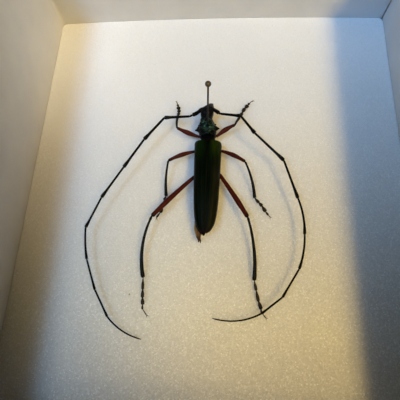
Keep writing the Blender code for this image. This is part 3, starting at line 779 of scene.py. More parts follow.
def relief_tree():
    """Pits or warts and a softer grain, as real relief."""
    g, given = new_tree("skin relief", [
        ("Pit depth", "Float"), ("Pit spacing", "Float"), ("Pit width", "Float"), ("Grain depth", "Float"),
        ("Grain size", "Float"), ("Stretch", "Vector"), ("Seed", "Float"), ("Material", "Material")])
    here = g.add("GeometryNodeInputPosition")
    pulled = g.vectors("MULTIPLY", here, given["Stretch"])
    per_pit = g.add("ShaderNodeMath", {"operation": "DIVIDE"}, {0: 1.0, 1: given["Pit spacing"]})
    per_grain = g.add("ShaderNodeMath", {"operation": "DIVIDE"}, {0: 1.0, 1: given["Grain size"]})
    pits = g.add("ShaderNodeTexVoronoi", {"voronoi_dimensions": "4D"},
                 {"Vector": here, "W": given["Seed"], "Scale": per_pit})
    grain = g.add("ShaderNodeTexNoise", {"noise_dimensions": "4D"},
                  {"Vector": pulled, "W": given["Seed"], "Scale": per_grain, "Detail": 3.0})
    dip = g.add("ShaderNodeMapRange", {"interpolation_type": "SMOOTHSTEP"},
                {"Value": pits, 1: 0.0, 2: given["Pit width"], 3: -1.0, 4: 0.0})
    height = dip * given["Pit depth"] + (grain - 0.5) * given["Grain depth"]
    push = g.vectors("SCALE", g.add("GeometryNodeInputNormal"), height * point_mark(g, "relief"))
    moved = g.add("GeometryNodeSetPosition", None, {"Geometry": given["Geometry"], "Offset": push})
    return end_tree(g, moved, given["Material"])


def relief_step(material, pits, grain, seed, stretch=(1.0, 1.0, 1.0)):
    """The relief tree as a step for worked(): pits are (depth, spacing, width), grain is (depth, size)."""
    return "NODES", {"tree": RELIEF, "Pit depth": pits[0], "Pit spacing": pits[1], "Pit width": pits[2],
                     "Grain depth": grain[0], "Grain size": grain[1], "Stretch": stretch, "Seed": seed,
                     "Material": material}


RELIEF = relief_tree()
print("tree ready:", RELIEF.name)

# %% [markdown]
# The second tree turns a line into a limb. The line's points carry their radius, and the tree sweeps a
# circle along it. A loft by hand would need a ring at each point, turned square to the bend; the tree
# keeps a bent limb round by itself.


# %% Tree: limbs
def limb_tree():
    """A line of points with radii, swept into a round skin."""
    g, given = new_tree("limb", [("Sides", "Int"), ("Material", "Material")])
    line = g.add("GeometryNodeMeshToCurve", None, {0: given["Geometry"]})
    circle = g.add("GeometryNodeCurvePrimitiveCircle", None, {"Resolution": given["Sides"], "Radius": 1.0})
    tube = g.add("GeometryNodeCurveToMesh", None, {0: line, 1: circle, 2: point_mark(g, "thick"), 3: True})
    smooth = g.add("GeometryNodeSetShadeSmooth", None, {0: tube})
    return end_tree(g, smooth, given["Material"])


LIMB = limb_tree()
print("tree ready:", LIMB.name)

# %% [markdown]
# The third tree grows the bristles of legs and feelers. Blender's hair would look right, but it doesn't
# end up in a mesh. So the tree scatters points over a skin, as thickly as the mark 'hairy' says, and
# stands a three-sided cone on each, leaning the way the mark 'way' points. Three sides are enough for a
# hair, and there are thousands. The fourth tree, for the eyes, comes with them.


# %% Tree: bristles
def both_of(g, first, second):
    """Two geometries as one."""
    both = g.add("GeometryNodeJoinGeometry", None, {0: first})
    g.tree.links.new(second.socket, both.socket.node.inputs[0])
    return both


def bristle_tree():
    """Short leaning hairs on a skin."""
    g, given = new_tree("bristles", [
        ("Density", "Float"), ("Length", "Float"), ("Thickness", "Float"), ("Lean", "Float"),
        ("Seed", "Int"), ("Material", "Material")])
    rate = given["Density"] * point_mark(g, "hairy")
    roots = g.add("GeometryNodeDistributePointsOnFaces", None,
                  {"Mesh": given["Geometry"], "Density": rate, "Seed": given["Seed"]})
    lean = g.vectors("SCALE", point_mark(g, "way", "FLOAT_VECTOR"), given["Lean"])
    upwards = g.vectors("ADD", roots.other("Normal"), lean)
    turn = g.add("FunctionNodeAlignRotationToVector", {"axis": "Z"}, {"Vector": upwards})
    size = g.add("FunctionNodeRandomValue", {"data_type": "FLOAT"},
                 {2: 0.55, 3: 1.15, "Seed": given["Seed"]}, 1)
    hair = g.add("GeometryNodeMeshCone", {"fill_type": "NGON"},
                 {"Vertices": 3, "Radius Bottom": given["Thickness"], "Radius Top": 0.002,
                  "Depth": given["Length"]})
    hairs = g.add("GeometryNodeInstanceOnPoints", None,
                  {"Points": roots, "Instance": hair, "Rotation": turn, "Scale": size})
    dressed = g.add("GeometryNodeSetMaterial", None,
                    {"Geometry": g.add("GeometryNodeRealizeInstances", None, {0: hairs}),
                     "Material": given["Material"]})
    return end_tree(g, both_of(g, given["Geometry"], dressed), None)


BRISTLES = bristle_tree()
print("tree ready:", BRISTLES.name)

# %% [markdown]
# The outer tray is a folded and glued card box, open at the top. It could be six boards, but their
# joints would show as cracks, so it is one stack of rounded rectangles: up the outside, over the rim,
# down the inside to the floor. Paper is wrapped round its corners, so the ends of the side papers
# stand a paper's thickness proud on the front and back walls.

# %% Tray
WRAP_REACH = 13.0
WRAP_STEP = 0.10
RIM_ROUND = 0.35
SIDE_POINTS = (52, 60)
CORNER_POINTS = 6


def rounded_rectangle(width, length, corner):
    """Points of a rectangle with round corners, counter-clockwise, as (x, y)."""
    points = []
    half_x, half_y = width / 2 - corner, length / 2 - corner
    corners = [(half_x, half_y, 0), (-half_x, half_y, 90), (-half_x, -half_y, 180), (half_x, -half_y, 270)]
    for number, (x, y, start) in enumerate(corners):
        for t in np.linspace(0, 90, CORNER_POINTS, endpoint=False):
            a = math.radians(start + t)
            points.append((x + corner * math.cos(a), y + corner * math.sin(a)))
        after = corners[(number + 1) % 4]
        a = math.radians(start + 90)
        first = np.array((x + corner * math.cos(a), y + corner * math.sin(a)))
        second = np.array((after[0] + corner * math.cos(a), after[1] + corner * math.sin(a)))
        for t in np.linspace(0, 1, SIDE_POINTS[number % 2], endpoint=False):
            points.append(tuple(first + (second - first) * t))
    return np.array(points)


def tray_mesh():
    """The tray from (inset, height) rings, with the wrapped paper's edges."""
    outer_width = TRAY_INNER_WIDTH + 2 * CARD_THICK
    outer_length = TRAY_INNER_LENGTH + 2 * CARD_THICK
    rim = FOAM_TOP + RIM_ABOVE_FOAM
    rings = [(0.45, 0.0), (0.12, 0.12), (0.0, 0.45)]
    rings += [(0.0, z) for z in np.linspace(2.0, rim - 1.2, 26)]
    for angle in np.linspace(0, 180, 9):
        a = math.radians(angle)
        round_in = RIM_ROUND if angle <= 90 else CARD_THICK - RIM_ROUND
        rings.append((round_in - RIM_ROUND * math.cos(a), rim - RIM_ROUND * (1 - math.sin(a))))
    rings += [(CARD_THICK, z) for z in np.linspace(rim - 1.2, CARD_THICK + 0.3, 18)]
    rings += [(CARD_THICK + 0.3, CARD_THICK)]
    rows = []
    for inset, z in rings:
        corner = max(TRAY_CORNER - inset, 0.3)
        plan = rounded_rectangle(outer_width - 2 * inset, outer_length - 2 * inset, corner)
        if inset < 0.3:
            on_end = np.abs(plan[:, 1]) > outer_length / 2 - 0.3
            bare = on_end * step(outer_width / 2 - WRAP_REACH - np.abs(plan[:, 0]), -0.15, 0.15)
            plan[:, 1] -= np.sign(plan[:, 1]) * bare * WRAP_STEP
        rows.append(np.column_stack([plan, np.full(len(plan), z - FOAM_TOP)]))
    mesh = through_rows(rows[::-1]).mesh("case_tray", OUTER_CARD)
    mesh.set_sharp_from_angle(angle=math.radians(50))
    return mesh


place("tray", tray_mesh(), "tray_card", "case_tray")

# %% [markdown]
# The liner is one strip of thinner card. It is a flat section swept round the inside of the box: its
# short sides bulge a little, the back left fold is soft, and the two ends meet in the back right corner,
# where one end has a small bent flap. A swept section keeps the card one thickness everywhere.

# %% Liner
FLAP_START = 4.9
FLAP_SLOPE = 0.68
FLAP_TOP = 17.0
FLAP_DEPTH = 0.30
CREASE_HEIGHT = 0.16
CARD_WAVE = 0.07
LAST_FLAP_POINT = 40


def end_line(x, side):
    """Y of the liner's short side at x: side +1 is the back, which is also pulled in at its left."""
    across = (x + HALF_WIDTH) / INNER_WIDTH
    bow = END_BOW * 4 * across * (1 - across)
    pull = BACK_LEFT_PULL * (1 - across) if side > 0 else 0.0
    return side * (HALF_LENGTH + bow - pull)


def liner_path():
    """The inner face's line in plan, from the seam leftwards round the box and back to it."""
    start = HALF_WIDTH - SEAM_HALF
    xs = np.concatenate([start - np.linspace(0, 6, 25), np.linspace(start - 7, SOFT_FOLD - HALF_WIDTH, 84)])
    path = [(x, end_line(x, 1)) for x in xs]
    back_left = path[-1][1]
    for a in np.linspace(15, 75, 5):
        turn = math.radians(a)
        path.append((-HALF_WIDTH + SOFT_FOLD * (1 - math.sin(turn)),
                     back_left - SOFT_FOLD * (1 - math.cos(turn))))
    front = end_line(HALF_WIDTH, -1) + 0.3
    path += [(-HALF_WIDTH, y) for y in np.linspace(back_left - SOFT_FOLD, front, 90)]
    path += [(x, end_line(x, -1)) for x in np.linspace(-HALF_WIDTH + 0.3, HALF_WIDTH - 0.3, 84)]
    path += [(HALF_WIDTH, y) for y in np.linspace(front, HALF_LENGTH - SEAM_HALF, 100)]
    return np.array(path)


def liner_lift(number, along, x, z):
    """How far the inner face stands off its line: soft waves everywhere, and the flap by the seam."""
    lift = CARD_WAVE * math.sin(along * 41 + z * 0.11) * math.sin(z * 0.07 + along * 17) * step(z, 0.0, 6.0)
    if number < LAST_FLAP_POINT and z > FLAP_START:
        past = x - (HALF_WIDTH - SEAM_HALF - (z - FLAP_START) * FLAP_SLOPE)
        fade = 1 - step(z, FLAP_TOP - 6, FLAP_TOP)
        lift -= FLAP_DEPTH * fade * step(past, 0.0, 1.6)
        lift += CREASE_HEIGHT * fade * math.exp(-(past / 0.22) ** 2)
    return lift


def liner_mesh():
    """The card's section, swept along the path and lifted on its inner face."""
    path = liner_path()
    runs = unit(np.gradient(path, axis=0))
    outward = np.column_stack([runs[:, 1], -runs[:, 0]])
    low = CARD_THICK + CLEARANCE - FOAM_TOP
    high = RIM_ABOVE_FOAM - LINER_BELOW_RIM
    heights = np.concatenate([[low, low + 5], np.linspace(-1, 20, 50), np.linspace(21, high - 0.3, 24)])
    section = [(0.0, z) for z in heights]
    section += [(0.08, high - 0.08), (0.3, high)]
    section += [(LINER_THICK - 0.3, high), (LINER_THICK - 0.08, high - 0.08)]
    section += [(LINER_THICK, z) for z in np.linspace(high - 0.3, low, 14)]
    rows = []
    for number, (point, out) in enumerate(zip(path, outward)):
        row = []
        for offset, z in section:
            lift = liner_lift(number, number / len(path), point[0], z) if offset == 0.0 else 0.0
            row.append((*(point + out * (offset + lift)), z))
        rows.append(row)
    mesh = through_rows(rows).mesh("liner", INNER_CARD)
    mesh.set_sharp_from_angle(angle=math.radians(55))
    return mesh


place("liner", liner_mesh(), "liner_card", "wall_liner")

# %% [markdown]
# The foam floor is cut to the liner's plan with rounded corners and slightly softened edges. It is a
# closed block with a fine grid on top, so that the cells are real relief, and the pin leaves a little
# dimple where it goes in. The relief tree does the cells. The mark 'relief' keeps them off the border,
# and the mark 'deep' tells the finish how far in a point lies.

# %% Foam
FOAM_FIT = 0.005
FOAM_GRID = (258, 312)
GRID_CROWDING = 0.55
PIN_HEAD_PLACE = np.array([-0.6, 20.2, 28.0])
PIN_BODY_PLACE = np.array([-1.6, 20.3, 7.5])
PIN_AXIS = unit(PIN_HEAD_PLACE - PIN_BODY_PLACE)
PIN_IN_FOAM = PIN_BODY_PLACE - PIN_AXIS * PIN_BODY_PLACE[2] / PIN_AXIS[2]


def crowded(count):
    """Numbers from -1 to 1 that stand closer together towards both ends."""
    quarter = math.pi / 2 * GRID_CROWDING
    return np.sin(np.linspace(-1, 1, count) * quarter) / math.sin(quarter)


def foam_mesh():
    """The foam's top as a grid, joined to its side walls and its underside."""
    half = HALF_WIDTH - FOAM_FIT
    xs = crowded(FOAM_GRID[0]) * half
    over = np.clip(np.abs(xs) - (half - FOAM_CORNER), 0, FOAM_CORNER)
    shrink = FOAM_CORNER - np.sqrt(np.maximum(FOAM_CORNER ** 2 - over ** 2, 0))
    back = np.array([end_line(x, 1) for x in xs]) - FOAM_FIT - shrink
    front = np.array([end_line(x, -1) for x in xs]) + FOAM_FIT + shrink
    x, v = np.meshgrid(xs, crowded(FOAM_GRID[1]))
    y = front + (back - front) * (v + 1) / 2
    edge = np.minimum(np.minimum(half - np.abs(x), back - y), y - front)
    z = -0.04 * np.clip(1 - edge / 0.4, 0, 1) ** 2.2
    away = np.hypot(x - PIN_IN_FOAM[0], y - PIN_IN_FOAM[1])
    z -= 0.35 * np.exp(-(away / 0.55) ** 2) - 0.06 * np.exp(-((away - 1.1) / 0.4) ** 2)
    top = through_rows(np.stack([x, y, z], -1)[::-1], closed=False)
    flat = top.points.reshape(*x.shape, 3)
    loop = np.concatenate([flat[0, :-1], flat[:-1, -1], flat[-1, :0:-1], flat[:0:-1, 0]])
    walls = [loop] + [loop * (1, 1, 0) + (0, 0, -depth) for depth in (0.9, 5.0, FOAM_THICK)]
    side = through_rows(walls[::-1], capped=False)
    side.faces.append(tuple(range(len(loop))))
    whole = top + side
    for label, first, last in (("relief", 0.1, 1.2), ("deep", 0.6, 7.0)):
        whole.marks[label] = np.zeros(len(whole.points))
        whole.marks[label][:x.size] = step(edge[::-1].ravel(), first, last)
    cells = relief_step(FOAM, (-0.03, 0.9, 0.7), (0.05, 1.2), 4.0)
    return worked(whole.mesh("foam_pad", FOAM), ("WELD", {"merge_threshold": 0.001}), cells)


foam = place("foam", foam_mesh(), "foam", "foam_pad")

# %% [markdown]
# The pin is a turned shape on a leaning axis: a ball, a drop of lacquer under it, a straight wire and a
# long fine point. Rings of points along the axis are the plainest way to turn it. A Screw modifier would
# turn it too, but only upright, and the pin would have to be leaned over afterwards.

# %% Pin
PIN_LENGTH = 38.0
PIN_WIDTH = 0.5
PIN_POINT = 1.6
BALL_WIDTH = 1.6
PIN_SINK = 0.03


def turned(profile, sides):
    """A closed turned shell on the pin's axis, from (radius, height over the ball's middle)."""
    guide = unit(np.cross(PIN_AXIS, (0.0, 1.0, 0.0)))
    other = np.cross(PIN_AXIS, guide)
    return through_rows([ring(PIN_HEAD_PLACE + PIN_AXIS * height, radius * guide, radius * other, sides)
                         for radius, height in profile])


ball = BALL_WIDTH / 2
ball_profile = [(ball * math.sin(a), ball * math.cos(a)) for a in np.linspace(0.03, math.pi - 0.03, 30)]
place("pin_ball", turned(ball_profile, 36).mesh("pin_ball", PIN_BALL), "pin_ball", "pin_head")
shaft = [(0.06, -ball - PIN_SINK), (0.36, -ball - PIN_SINK - 0.02), (0.33, -ball - 0.12),
         (PIN_WIDTH / 2, -ball - 0.45)]
shaft += [(PIN_WIDTH / 2, h) for h in np.linspace(-ball - 2, ball - PIN_LENGTH + PIN_POINT, 24)]
shaft += [(PIN_WIDTH / 2 * t ** 0.8, ball - PIN_LENGTH + PIN_POINT * t) for t in (0.8, 0.6, 0.4, 0.2, 0.03)]
place("pin_shaft", turned(shaft, 20).mesh("pin_shaft", PIN_WIRE), "pin_wire", "pin_shaft")

# %% [markdown]
# Body parts are lofts: rounded cross-sections strung along the body. Swellings, spines and joints are
# added as separate closed shapes, and a voxel remesh melts everything into one skin, the way clay
# pellets are pressed onto a figure and smoothed over.


# %% Lofted body parts
OVAL_SIDES = 48
OVAL_SQUARENESS = 2.4


def oval(half_width, low, high):
    """A rounded cross-section as (sideways, height) pairs, counter-clockwise."""
    turns = np.linspace(0, 2 * math.pi, OVAL_SIDES, endpoint=False)
    c, s = np.cos(turns), np.sin(turns)
    power = 2 / OVAL_SQUARENESS
    across = np.sign(c) * np.abs(c) ** power
    up = np.sign(s) * np.abs(s) ** power
    return half_width * across, (low + high) / 2 + (high - low) / 2 * up


def loft(sections, steps, at=(0.0, 0.0), turn=0.0):
    """A closed shell through (x, y, half width, low, high) sections, from front to tail."""
    c, s = math.cos(turn), math.sin(turn)
    rows = []
    for x, y, half_width, low, high in smooth_table(sections, steps):
        across, up = oval(half_width, low, high)
        u = x + across
        rows.append(np.column_stack([at[0] + u * c - y * s, at[1] + u * s + y * c, up]))
    return through_rows(rows)


def melted(shell, voxel, name):
    """One even skin round everything in the shell."""
    return worked(shell.mesh(name),
                  ("REMESH", {"mode": "VOXEL", "voxel_size": voxel, "use_smooth_shade": True}),
                  ("SMOOTH", {"factor": 0.5, "iterations": 2}))


def sculpt(mesh, move):
    """Move a mesh's points by a function of their places and normals, and mark its relief."""
    count = len(mesh.vertices)
    places = np.empty(count * 3)
    normals = np.empty(count * 3)
    mesh.vertices.foreach_get("co", places)
    mesh.vertices.foreach_get("normal", normals)
    moved, relief = move(places.reshape(-1, 3), normals.reshape(-1, 3))
    mesh.vertices.foreach_set("co", moved.ravel())
    layer = mesh.attributes.new("relief", "FLOAT", "POINT")
    layer.data.foreach_set("value", np.broadcast_to(relief, count).astype(float))
    mesh.update()
    return mesh


def line_of(values, middles, width):
    """Narrow bumps, 1 high, round some middles, for grooves, seams and plate edges."""
    return sum(np.exp(-((values - middle) / width) ** 2) for middle in middles)


print("body helpers ready")

# %% [markdown]
# The head narrows to a short muzzle turned a little to the right. Two bosses carry the feelers, with a
# groove between them, and a kidney-shaped eye wraps round the outside of each. The loft and its blobs
# melt into one skin, and the groove, the face line and the neck are pressed into that.

# %% Head
EYES_MIDDLE = -2.12
HEAD_VOXEL = 0.065
HEAD_SECTIONS = [
    (-2.20, 24.45, 1.75, 2.9, 6.6), (-2.20, 25.30, 1.95, 2.7, 6.9), (-2.15, 26.40, 2.05, 2.6, 7.0),
    (-1.92, 27.60, 1.82, 2.5, 6.7), (-1.45, 28.45, 1.38, 2.4, 6.2), (-1.22, 29.15, 1.04, 2.5, 5.6),
    (-1.05, 29.75, 0.70, 2.6, 4.9),
]


def head_shape():
    """Skull, feeler bosses, eye sockets, jaw roots and lips."""
    body = loft(HEAD_SECTIONS, 6)
    for side in (-1, 1):
        middle = -2.0 + side * 1.10
        body += blob((middle, 26.85 + side * 0.15, 6.3), (0.74, 0.78, 0.64))
        body += blob((EYES_MIDDLE + side * 1.75, 26.9, 5.6), (0.62, 0.72, 0.8))
        body += blob((-1.08 + side * 0.52, 29.45, 3.9), (0.36, 0.45, 0.5))
    body += blob((-1.0, 29.75, 3.6), (0.66, 0.34, 0.42))
    body += blob((-1.05, 29.3, 2.9), (0.62, 0.6, 0.4))
    return body


def head_sculpt(points, normals):
    """The groove down the face, the line over the lips and the pinched neck."""
    x, y, z = points.T
    middle = np.interp(y, [24.4, 27.6, 29.8], [-2.2, -2.05, -1.0])
    on_top = step(normals[:, 2], 0.1, 0.6)
    groove = line_of(x, [middle], 0.16) * step(y, 25.2, 25.9) * (1 - step(y, 28.4, 28.9))
    z = z - (0.22 * groove + 0.10 * line_of(y, [28.95], 0.10)) * on_top
    moved = np.column_stack([x, y, z]) - normals * (0.10 * line_of(y, [24.75], 0.16))[:, None]
    return moved, 0.35 + 0.65 * step(y, 24.8, 25.4)


head = sculpt(melted(head_shape(), HEAD_VOXEL, "head"), head_sculpt)
head = worked(head, relief_step(HEAD_BLACK, (0.035, 0.26, 0.5), (0.10, 0.55), 3.0, (1.0, 0.7, 1.0)))
place("head", head, "head_black", "head")

# %% [markdown]
# The eyes are compound: hundreds of tiny lenses packed over a kidney shape. The kidney is a bent row of
# rings. Lenses modelled one by one would be endless work, so a small tree scatters a low dome on it
# wherever there is room for one.

# %% Eyes
FACET_WIDTH = 0.085
EYE_RINGS = 27


def eye_shell(side):
    """A kidney that wraps round the outside of the feeler's boss, open towards the front."""
    rows = []
    for t in np.linspace(0, 1, EYE_RINGS):
        a = math.radians(-72 + 150 * t)
        swell = math.sin(math.pi * min(max(t, 0.02), 0.98)) ** 0.55
        centre = np.array([EYES_MIDDLE + side * (1.62 - 0.42 * math.sin(a) ** 2 * (a > 0)),
                           26.35 - 0.62 * math.cos(a), 5.15 + 1.05 * math.sin(a)])
        out = unit(np.array([float(side), 0.0, 0.25 + 0.5 * max(math.sin(a), 0.0)]))
        wide = np.cross(out, (0.0, math.sin(a), math.cos(a)))
        rows.append(ring(centre, swell * 0.44 * out, swell * 0.46 * side * wide, 24))
    return through_rows(rows)


def facet_tree():
    """Low domes packed over a surface."""
    g, given = new_tree("eye lenses", [("Width", "Float"), ("Seed", "Int"), ("Material", "Material")])
    spots = g.add("GeometryNodeDistributePointsOnFaces", {"distribute_method": "POISSON"},
                  {"Mesh": given["Geometry"], "Distance Min": given["Width"] * 0.92, "Density Max": 400.0,
                   "Seed": given["Seed"]})
    dome = g.add("GeometryNodeMeshIcoSphere", None, {"Radius": given["Width"] * 0.55, "Subdivisions": 1})
    lens = g.add("GeometryNodeSetShadeSmooth", None, {0: dome})
    lenses = g.add("GeometryNodeInstanceOnPoints", None, {
        "Points": spots, "Instance": lens, "Rotation": spots.other("Rotation"), "Scale": (1, 1, 0.55)})
    return end_tree(g, both_of(g, given["Geometry"], lenses), given["Material"])


LENSES = facet_tree()
for side_name, side in SIDES.items():
    eye = worked(eye_shell(side).mesh("eye", EYE_DARK), ("NODES", {
        "tree": LENSES, "Width": FACET_WIDTH, "Seed": 5, "Material": EYE_DARK}))
    place(f"eye_{side_name}", eye, "head_black")

# %% [markdown]
# The jaws are two short curved hooks that nearly meet under the muzzle's tip. A tube that thins to a
# point along a curve is all that shows of them, so that is all they are.

# %% Jaws
JAW_MIDDLE = -1.05
JAW_HOOK = [(0.42, 29.95, 3.95, 0.26), (0.48, 30.16, 3.7, 0.25), (0.336, 30.35, 3.5, 0.17),
            (0.12, 30.5, 3.4, 0.04)]
for side_name, side in SIDES.items():
    hook = smooth_table([(JAW_MIDDLE + side * out, y, z, radius) for out, y, z, radius in JAW_HOOK], 6)
    jaw = horn(hook[:, :3], hook[:, 3], 14)
    place(f"jaw_{side_name}", jaw.mesh("jaw", JAW_BROWN), "jaw_brown", f"mandible_{side_name}")

# %% [markdown]
# The collar plate behind the head is the roughest part of the beetle: warty, cross-wrinkled, pinched in
# front and behind, with a pointed spine on each side. It is lofted, melted together with its spines
# and larger warts, and then wrinkled by the relief tree. A bump map would leave its outline smooth, and
# its outline is what gives it away.

# %% Collar
COLLAR_PLACE = (-1.95, 21.0)
COLLAR_TURN = math.radians(7)
COLLAR_VOXEL = 0.075
SPINES = {-1: (3.85, -0.75), 1: (3.75, -0.95)}
SPINE_RADII = [1.35, 1.3, 1.18, 0.95, 0.62, 0.30, 0.07]
COLLAR_SECTIONS = [
    (0.0, 3.15, 1.80, 2.7, 6.7), (0.0, 2.7, 1.90, 2.4, 6.9), (0.0, 1.8, 2.10, 2.1, 7.05),
    (0.0, 0.9, 2.45, 1.9, 7.35), (0.0, 0.3, 2.45, 1.8, 7.45), (0.0, -0.6, 2.75, 1.8, 7.55),
    (0.0, -1.6, 2.65, 1.8, 7.45), (0.0, -2.4, 2.40, 1.9, 7.15), (0.0, -3.2, 2.35, 2.1, 6.9),
]
COLLAR_WARTS = [
    (-1.2, 1.3, 7.05, 0.5), (0.5, 1.0, 7.2, 0.45), (1.3, 0.4, 7.0, 0.5), (-1.6, -0.2, 7.0, 0.55),
    (0.2, -0.9, 7.45, 0.4), (-0.7, -1.7, 7.3, 0.5), (1.2, -1.4, 7.15, 0.5), (-1.7, -2.0, 6.6, 0.45),
    (0.4, -2.5, 7.0, 0.4), (1.8, -2.2, 6.5, 0.4), (-0.4, 0.3, 7.4, 0.35), (-0.2, 2.2, 6.85, 0.35),
    (-2.3, 0.75, 5.4, 0.42), (2.35, 0.55, 5.4, 0.45),
]


def in_collar(u, v, z):
    """A place given in the collar's own turned plan."""
    c, s = math.cos(COLLAR_TURN), math.sin(COLLAR_TURN)
    return np.array([COLLAR_PLACE[0] + u * c - v * s, COLLAR_PLACE[1] + u * s + v * c, z])


def collar_shape():
    """The plate, its two spines, the leg sockets under it and its warts."""
    body = loft(COLLAR_SECTIONS, 5, COLLAR_PLACE, COLLAR_TURN)
    for side, (reach, back) in SPINES.items():
        length = reach - 1.5
        spine = [in_collar(side * (1.5 + length * t), back * (0.6 + 0.4 * t), 5.1 + 0.08 * (length * t - 0.5))
                 for t in np.linspace(0, 1, len(SPINE_RADII))]
        body += horn(spine, SPINE_RADII, 20)
        body += blob(in_collar(side * 1.15, -2.35, 2.5), (0.85, 0.8, 0.75))
        body += blob(in_collar(side * 2.0, -2.25, 2.7), (0.5, 0.45, 0.45))
    for u, v, z, size in COLLAR_WARTS:
        body += blob(in_collar(u, v, z - 0.12), (size, size * 0.8, size * 0.6), 16, 10)
    return body


def collar_sculpt(points, normals):
    """Pinched front and back, cross-wrinkled, with a small lip round the pin."""
    x, y = points[:, 0] - COLLAR_PLACE[0], points[:, 1] - COLLAR_PLACE[1]
    v = y * math.cos(COLLAR_TURN) - x * math.sin(COLLAR_TURN)
    pinch = 0.16 * line_of(v, [2.3], 0.16) + 0.18 * line_of(v, [-2.55], 0.15)
    wrinkle = 0.05 * np.sin(v * 6.1 + 2.2 * np.sin(x * 1.9 + 0.6 * v)) * step(normals[:, 2], -0.2, 0.5)
    at_height = (points[:, 2] - PIN_BODY_PLACE[2])[:, None] / PIN_AXIS[2] * PIN_AXIS + PIN_BODY_PLACE
    away = np.linalg.norm((points - at_height)[:, :2], axis=1)
    lip = 0.10 * line_of(away, [0.5], 0.16) * step(normals[:, 2], 0.2, 0.8)
    return points + normals * (wrinkle + lip - pinch)[:, None], 1.0 - 0.5 * step(np.abs(v), 2.4, 3.0)


collar = sculpt(melted(collar_shape(), COLLAR_VOXEL, "collar"), collar_sculpt)
collar = worked(collar, relief_step(COLLAR_TEAL, (-0.10, 0.50, 0.6), (0.34, 0.62), 8.0, (1.0, 1.5, 1.0)))
place("collar", collar, "collar_teal", "pronotum")

# %% [markdown]
# The trunk and the abdomen hang under the wing cases. From above only the dark waist and the little
# triangle between the cases show, but from the side and from below the sockets of the legs and the
# abdomen's five belly plates do. Grooves are pressed into the melted skin by moving its points.

# %% Trunk and abdomen
BODY_X = -1.45
BODY_VOXEL = 0.09
TRUNK_SECTIONS = [
    (-1.70, 17.75, 2.00, 2.5, 6.1), (-1.50, 16.90, 2.20, 2.1, 6.2), (-1.47, 16.10, 2.50, 1.9, 6.4),
    (BODY_X, 15.00, 3.20, 1.7, 6.7), (BODY_X, 12.00, 3.42, 1.5, 6.7), (BODY_X, 8.00, 3.32, 1.5, 6.6),
    (BODY_X, 4.60, 3.02, 1.6, 6.3),
]
ABDOMEN_SECTIONS = [
    (BODY_X, 4.45, 2.95, 1.5, 6.2), (BODY_X, 0.50, 2.95, 1.4, 6.0), (BODY_X, -3.50, 2.65, 1.5, 5.5),
    (BODY_X, -7.00, 1.95, 1.6, 4.0), (BODY_X, -9.30, 1.28, 1.9, 3.2), (BODY_X, -10.30, 0.62, 2.1, 2.8),
]
LEG_ROOTS = {"middle_left": (-5.2, 13.8), "middle_right": (2.3, 14.1), "hind_left": (-5.1, 5.5),
             "hind_right": (2.1, 6.4)}
BREAST_LINES = (15.4, 12.2, 7.4)
PLATE_LINES = (2.2, -0.6, -3.2, -5.6, -7.8)
SCUTELLUM_X = -1.72
SCUTELLUM = [(14.5, 0.06), (15.1, 0.42), (15.7, 0.72), (16.15, 0.80)]
SCUTELLUM_SECTION = ((-1, -0.5), (0, -0.6), (1, -0.5), (0.95, 0.16), (0, 0.30), (-0.95, 0.16))


def trunk_shape():
    """The trunk with its leg sockets and the little triangle on its back."""
    body = loft(TRUNK_SECTIONS, 7)
    for x, y in LEG_ROOTS.values():
        inward = 1 if x < BODY_X else -1
        body += blob((x + inward * 1.15, y + 0.1, 2.35), (1.15, 0.95, 0.85))
        body += blob((x + inward * 0.35, y, 2.85), (0.62, 0.5, 0.5))
    for side in (-1, 1):
        body += blob((BODY_X + side * 1.5, 17.0, 2.6), (0.85, 0.8, 0.75))
    shield = [[(SCUTELLUM_X + half * across, y, 7.0 + up) for across, up in SCUTELLUM_SECTION]
              for y, half in smooth_table(SCUTELLUM, 5)]
    return body + through_rows(shield[::-1])


def trunk_sculpt(points, normals):
    """A line down the middle of the breast, and seams across it."""
    under = step(-normals[:, 2], 0.1, 0.6)
    side = 1 - np.abs(normals[:, 2])
    keel = 0.14 * line_of(points[:, 0], [BODY_X], 0.10) * under
    seams = 0.16 * line_of(points[:, 1], BREAST_LINES, 0.11) * (under + 0.6 * side)
    return points - normals * (keel + seams)[:, None], 1.0


def abdomen_sculpt(points, normals):
    """Five belly plates, each lapping over the next."""
    seams = 0.15 * line_of(points[:, 1], PLATE_LINES, 0.10)
    lap = 0.08 * line_of(points[:, 1] - 0.35, PLATE_LINES, 0.3)
    return points - normals * (seams - lap)[:, None], 1.0


trunk = sculpt(melted(trunk_shape(), BODY_VOXEL, "trunk"), trunk_sculpt)
trunk = worked(trunk, relief_step(TRUNK_BLACK, (0.03, 0.32, 0.45), (0.08, 0.6), 11.0))
place("trunk", trunk, "trunk_black", "pterothorax")
abdomen = sculpt(melted(loft(ABDOMEN_SECTIONS, 8), BODY_VOXEL, "abdomen"), abdomen_sculpt)
abdomen = worked(abdomen, relief_step(TRUNK_BLACK, (0.03, 0.30, 0.45), (0.06, 0.6), 12.0))
place("abdomen", abdomen, "trunk_black", "abdomen")

# %% [markdown]
# A wing case follows a rule: nearly even in width, arched like a roof, falling to a rounded tip. Rows of
# points follow that rule from shoulder to tip, with a raised seam edge, two faint ribs, a rim along the
# side and a shoulder knob; Solidify gives the shell its thickness, and the relief tree its fine dimples.

# %% Wing cases
ELYTRON_THICK = 0.3
SUTURE_GAP = 0.1
ELYTRON_FRONT = 15.9
ELYTRON_LENGTH = 28.1
ELYTRON_WIDTH = 4.1
LEFT_CASE_LONGER = 0.4
ELYTRON_TOP = 7.6
ELYTRON_EDGE = 4.1
ELYTRON_TAIL_DROP = 2.9
ROOF_SQUARENESS = 2.6
SCUTELLUM_NOTCH = 1.3
FRONT_SET_BACK = 0.3
SHOULDER_ROUND = 0.4
RIBS = ((0.34, 0.055), (0.60, 0.05))
SEAM_EDGE = 0.05
CASE_GRID = (300, 58)


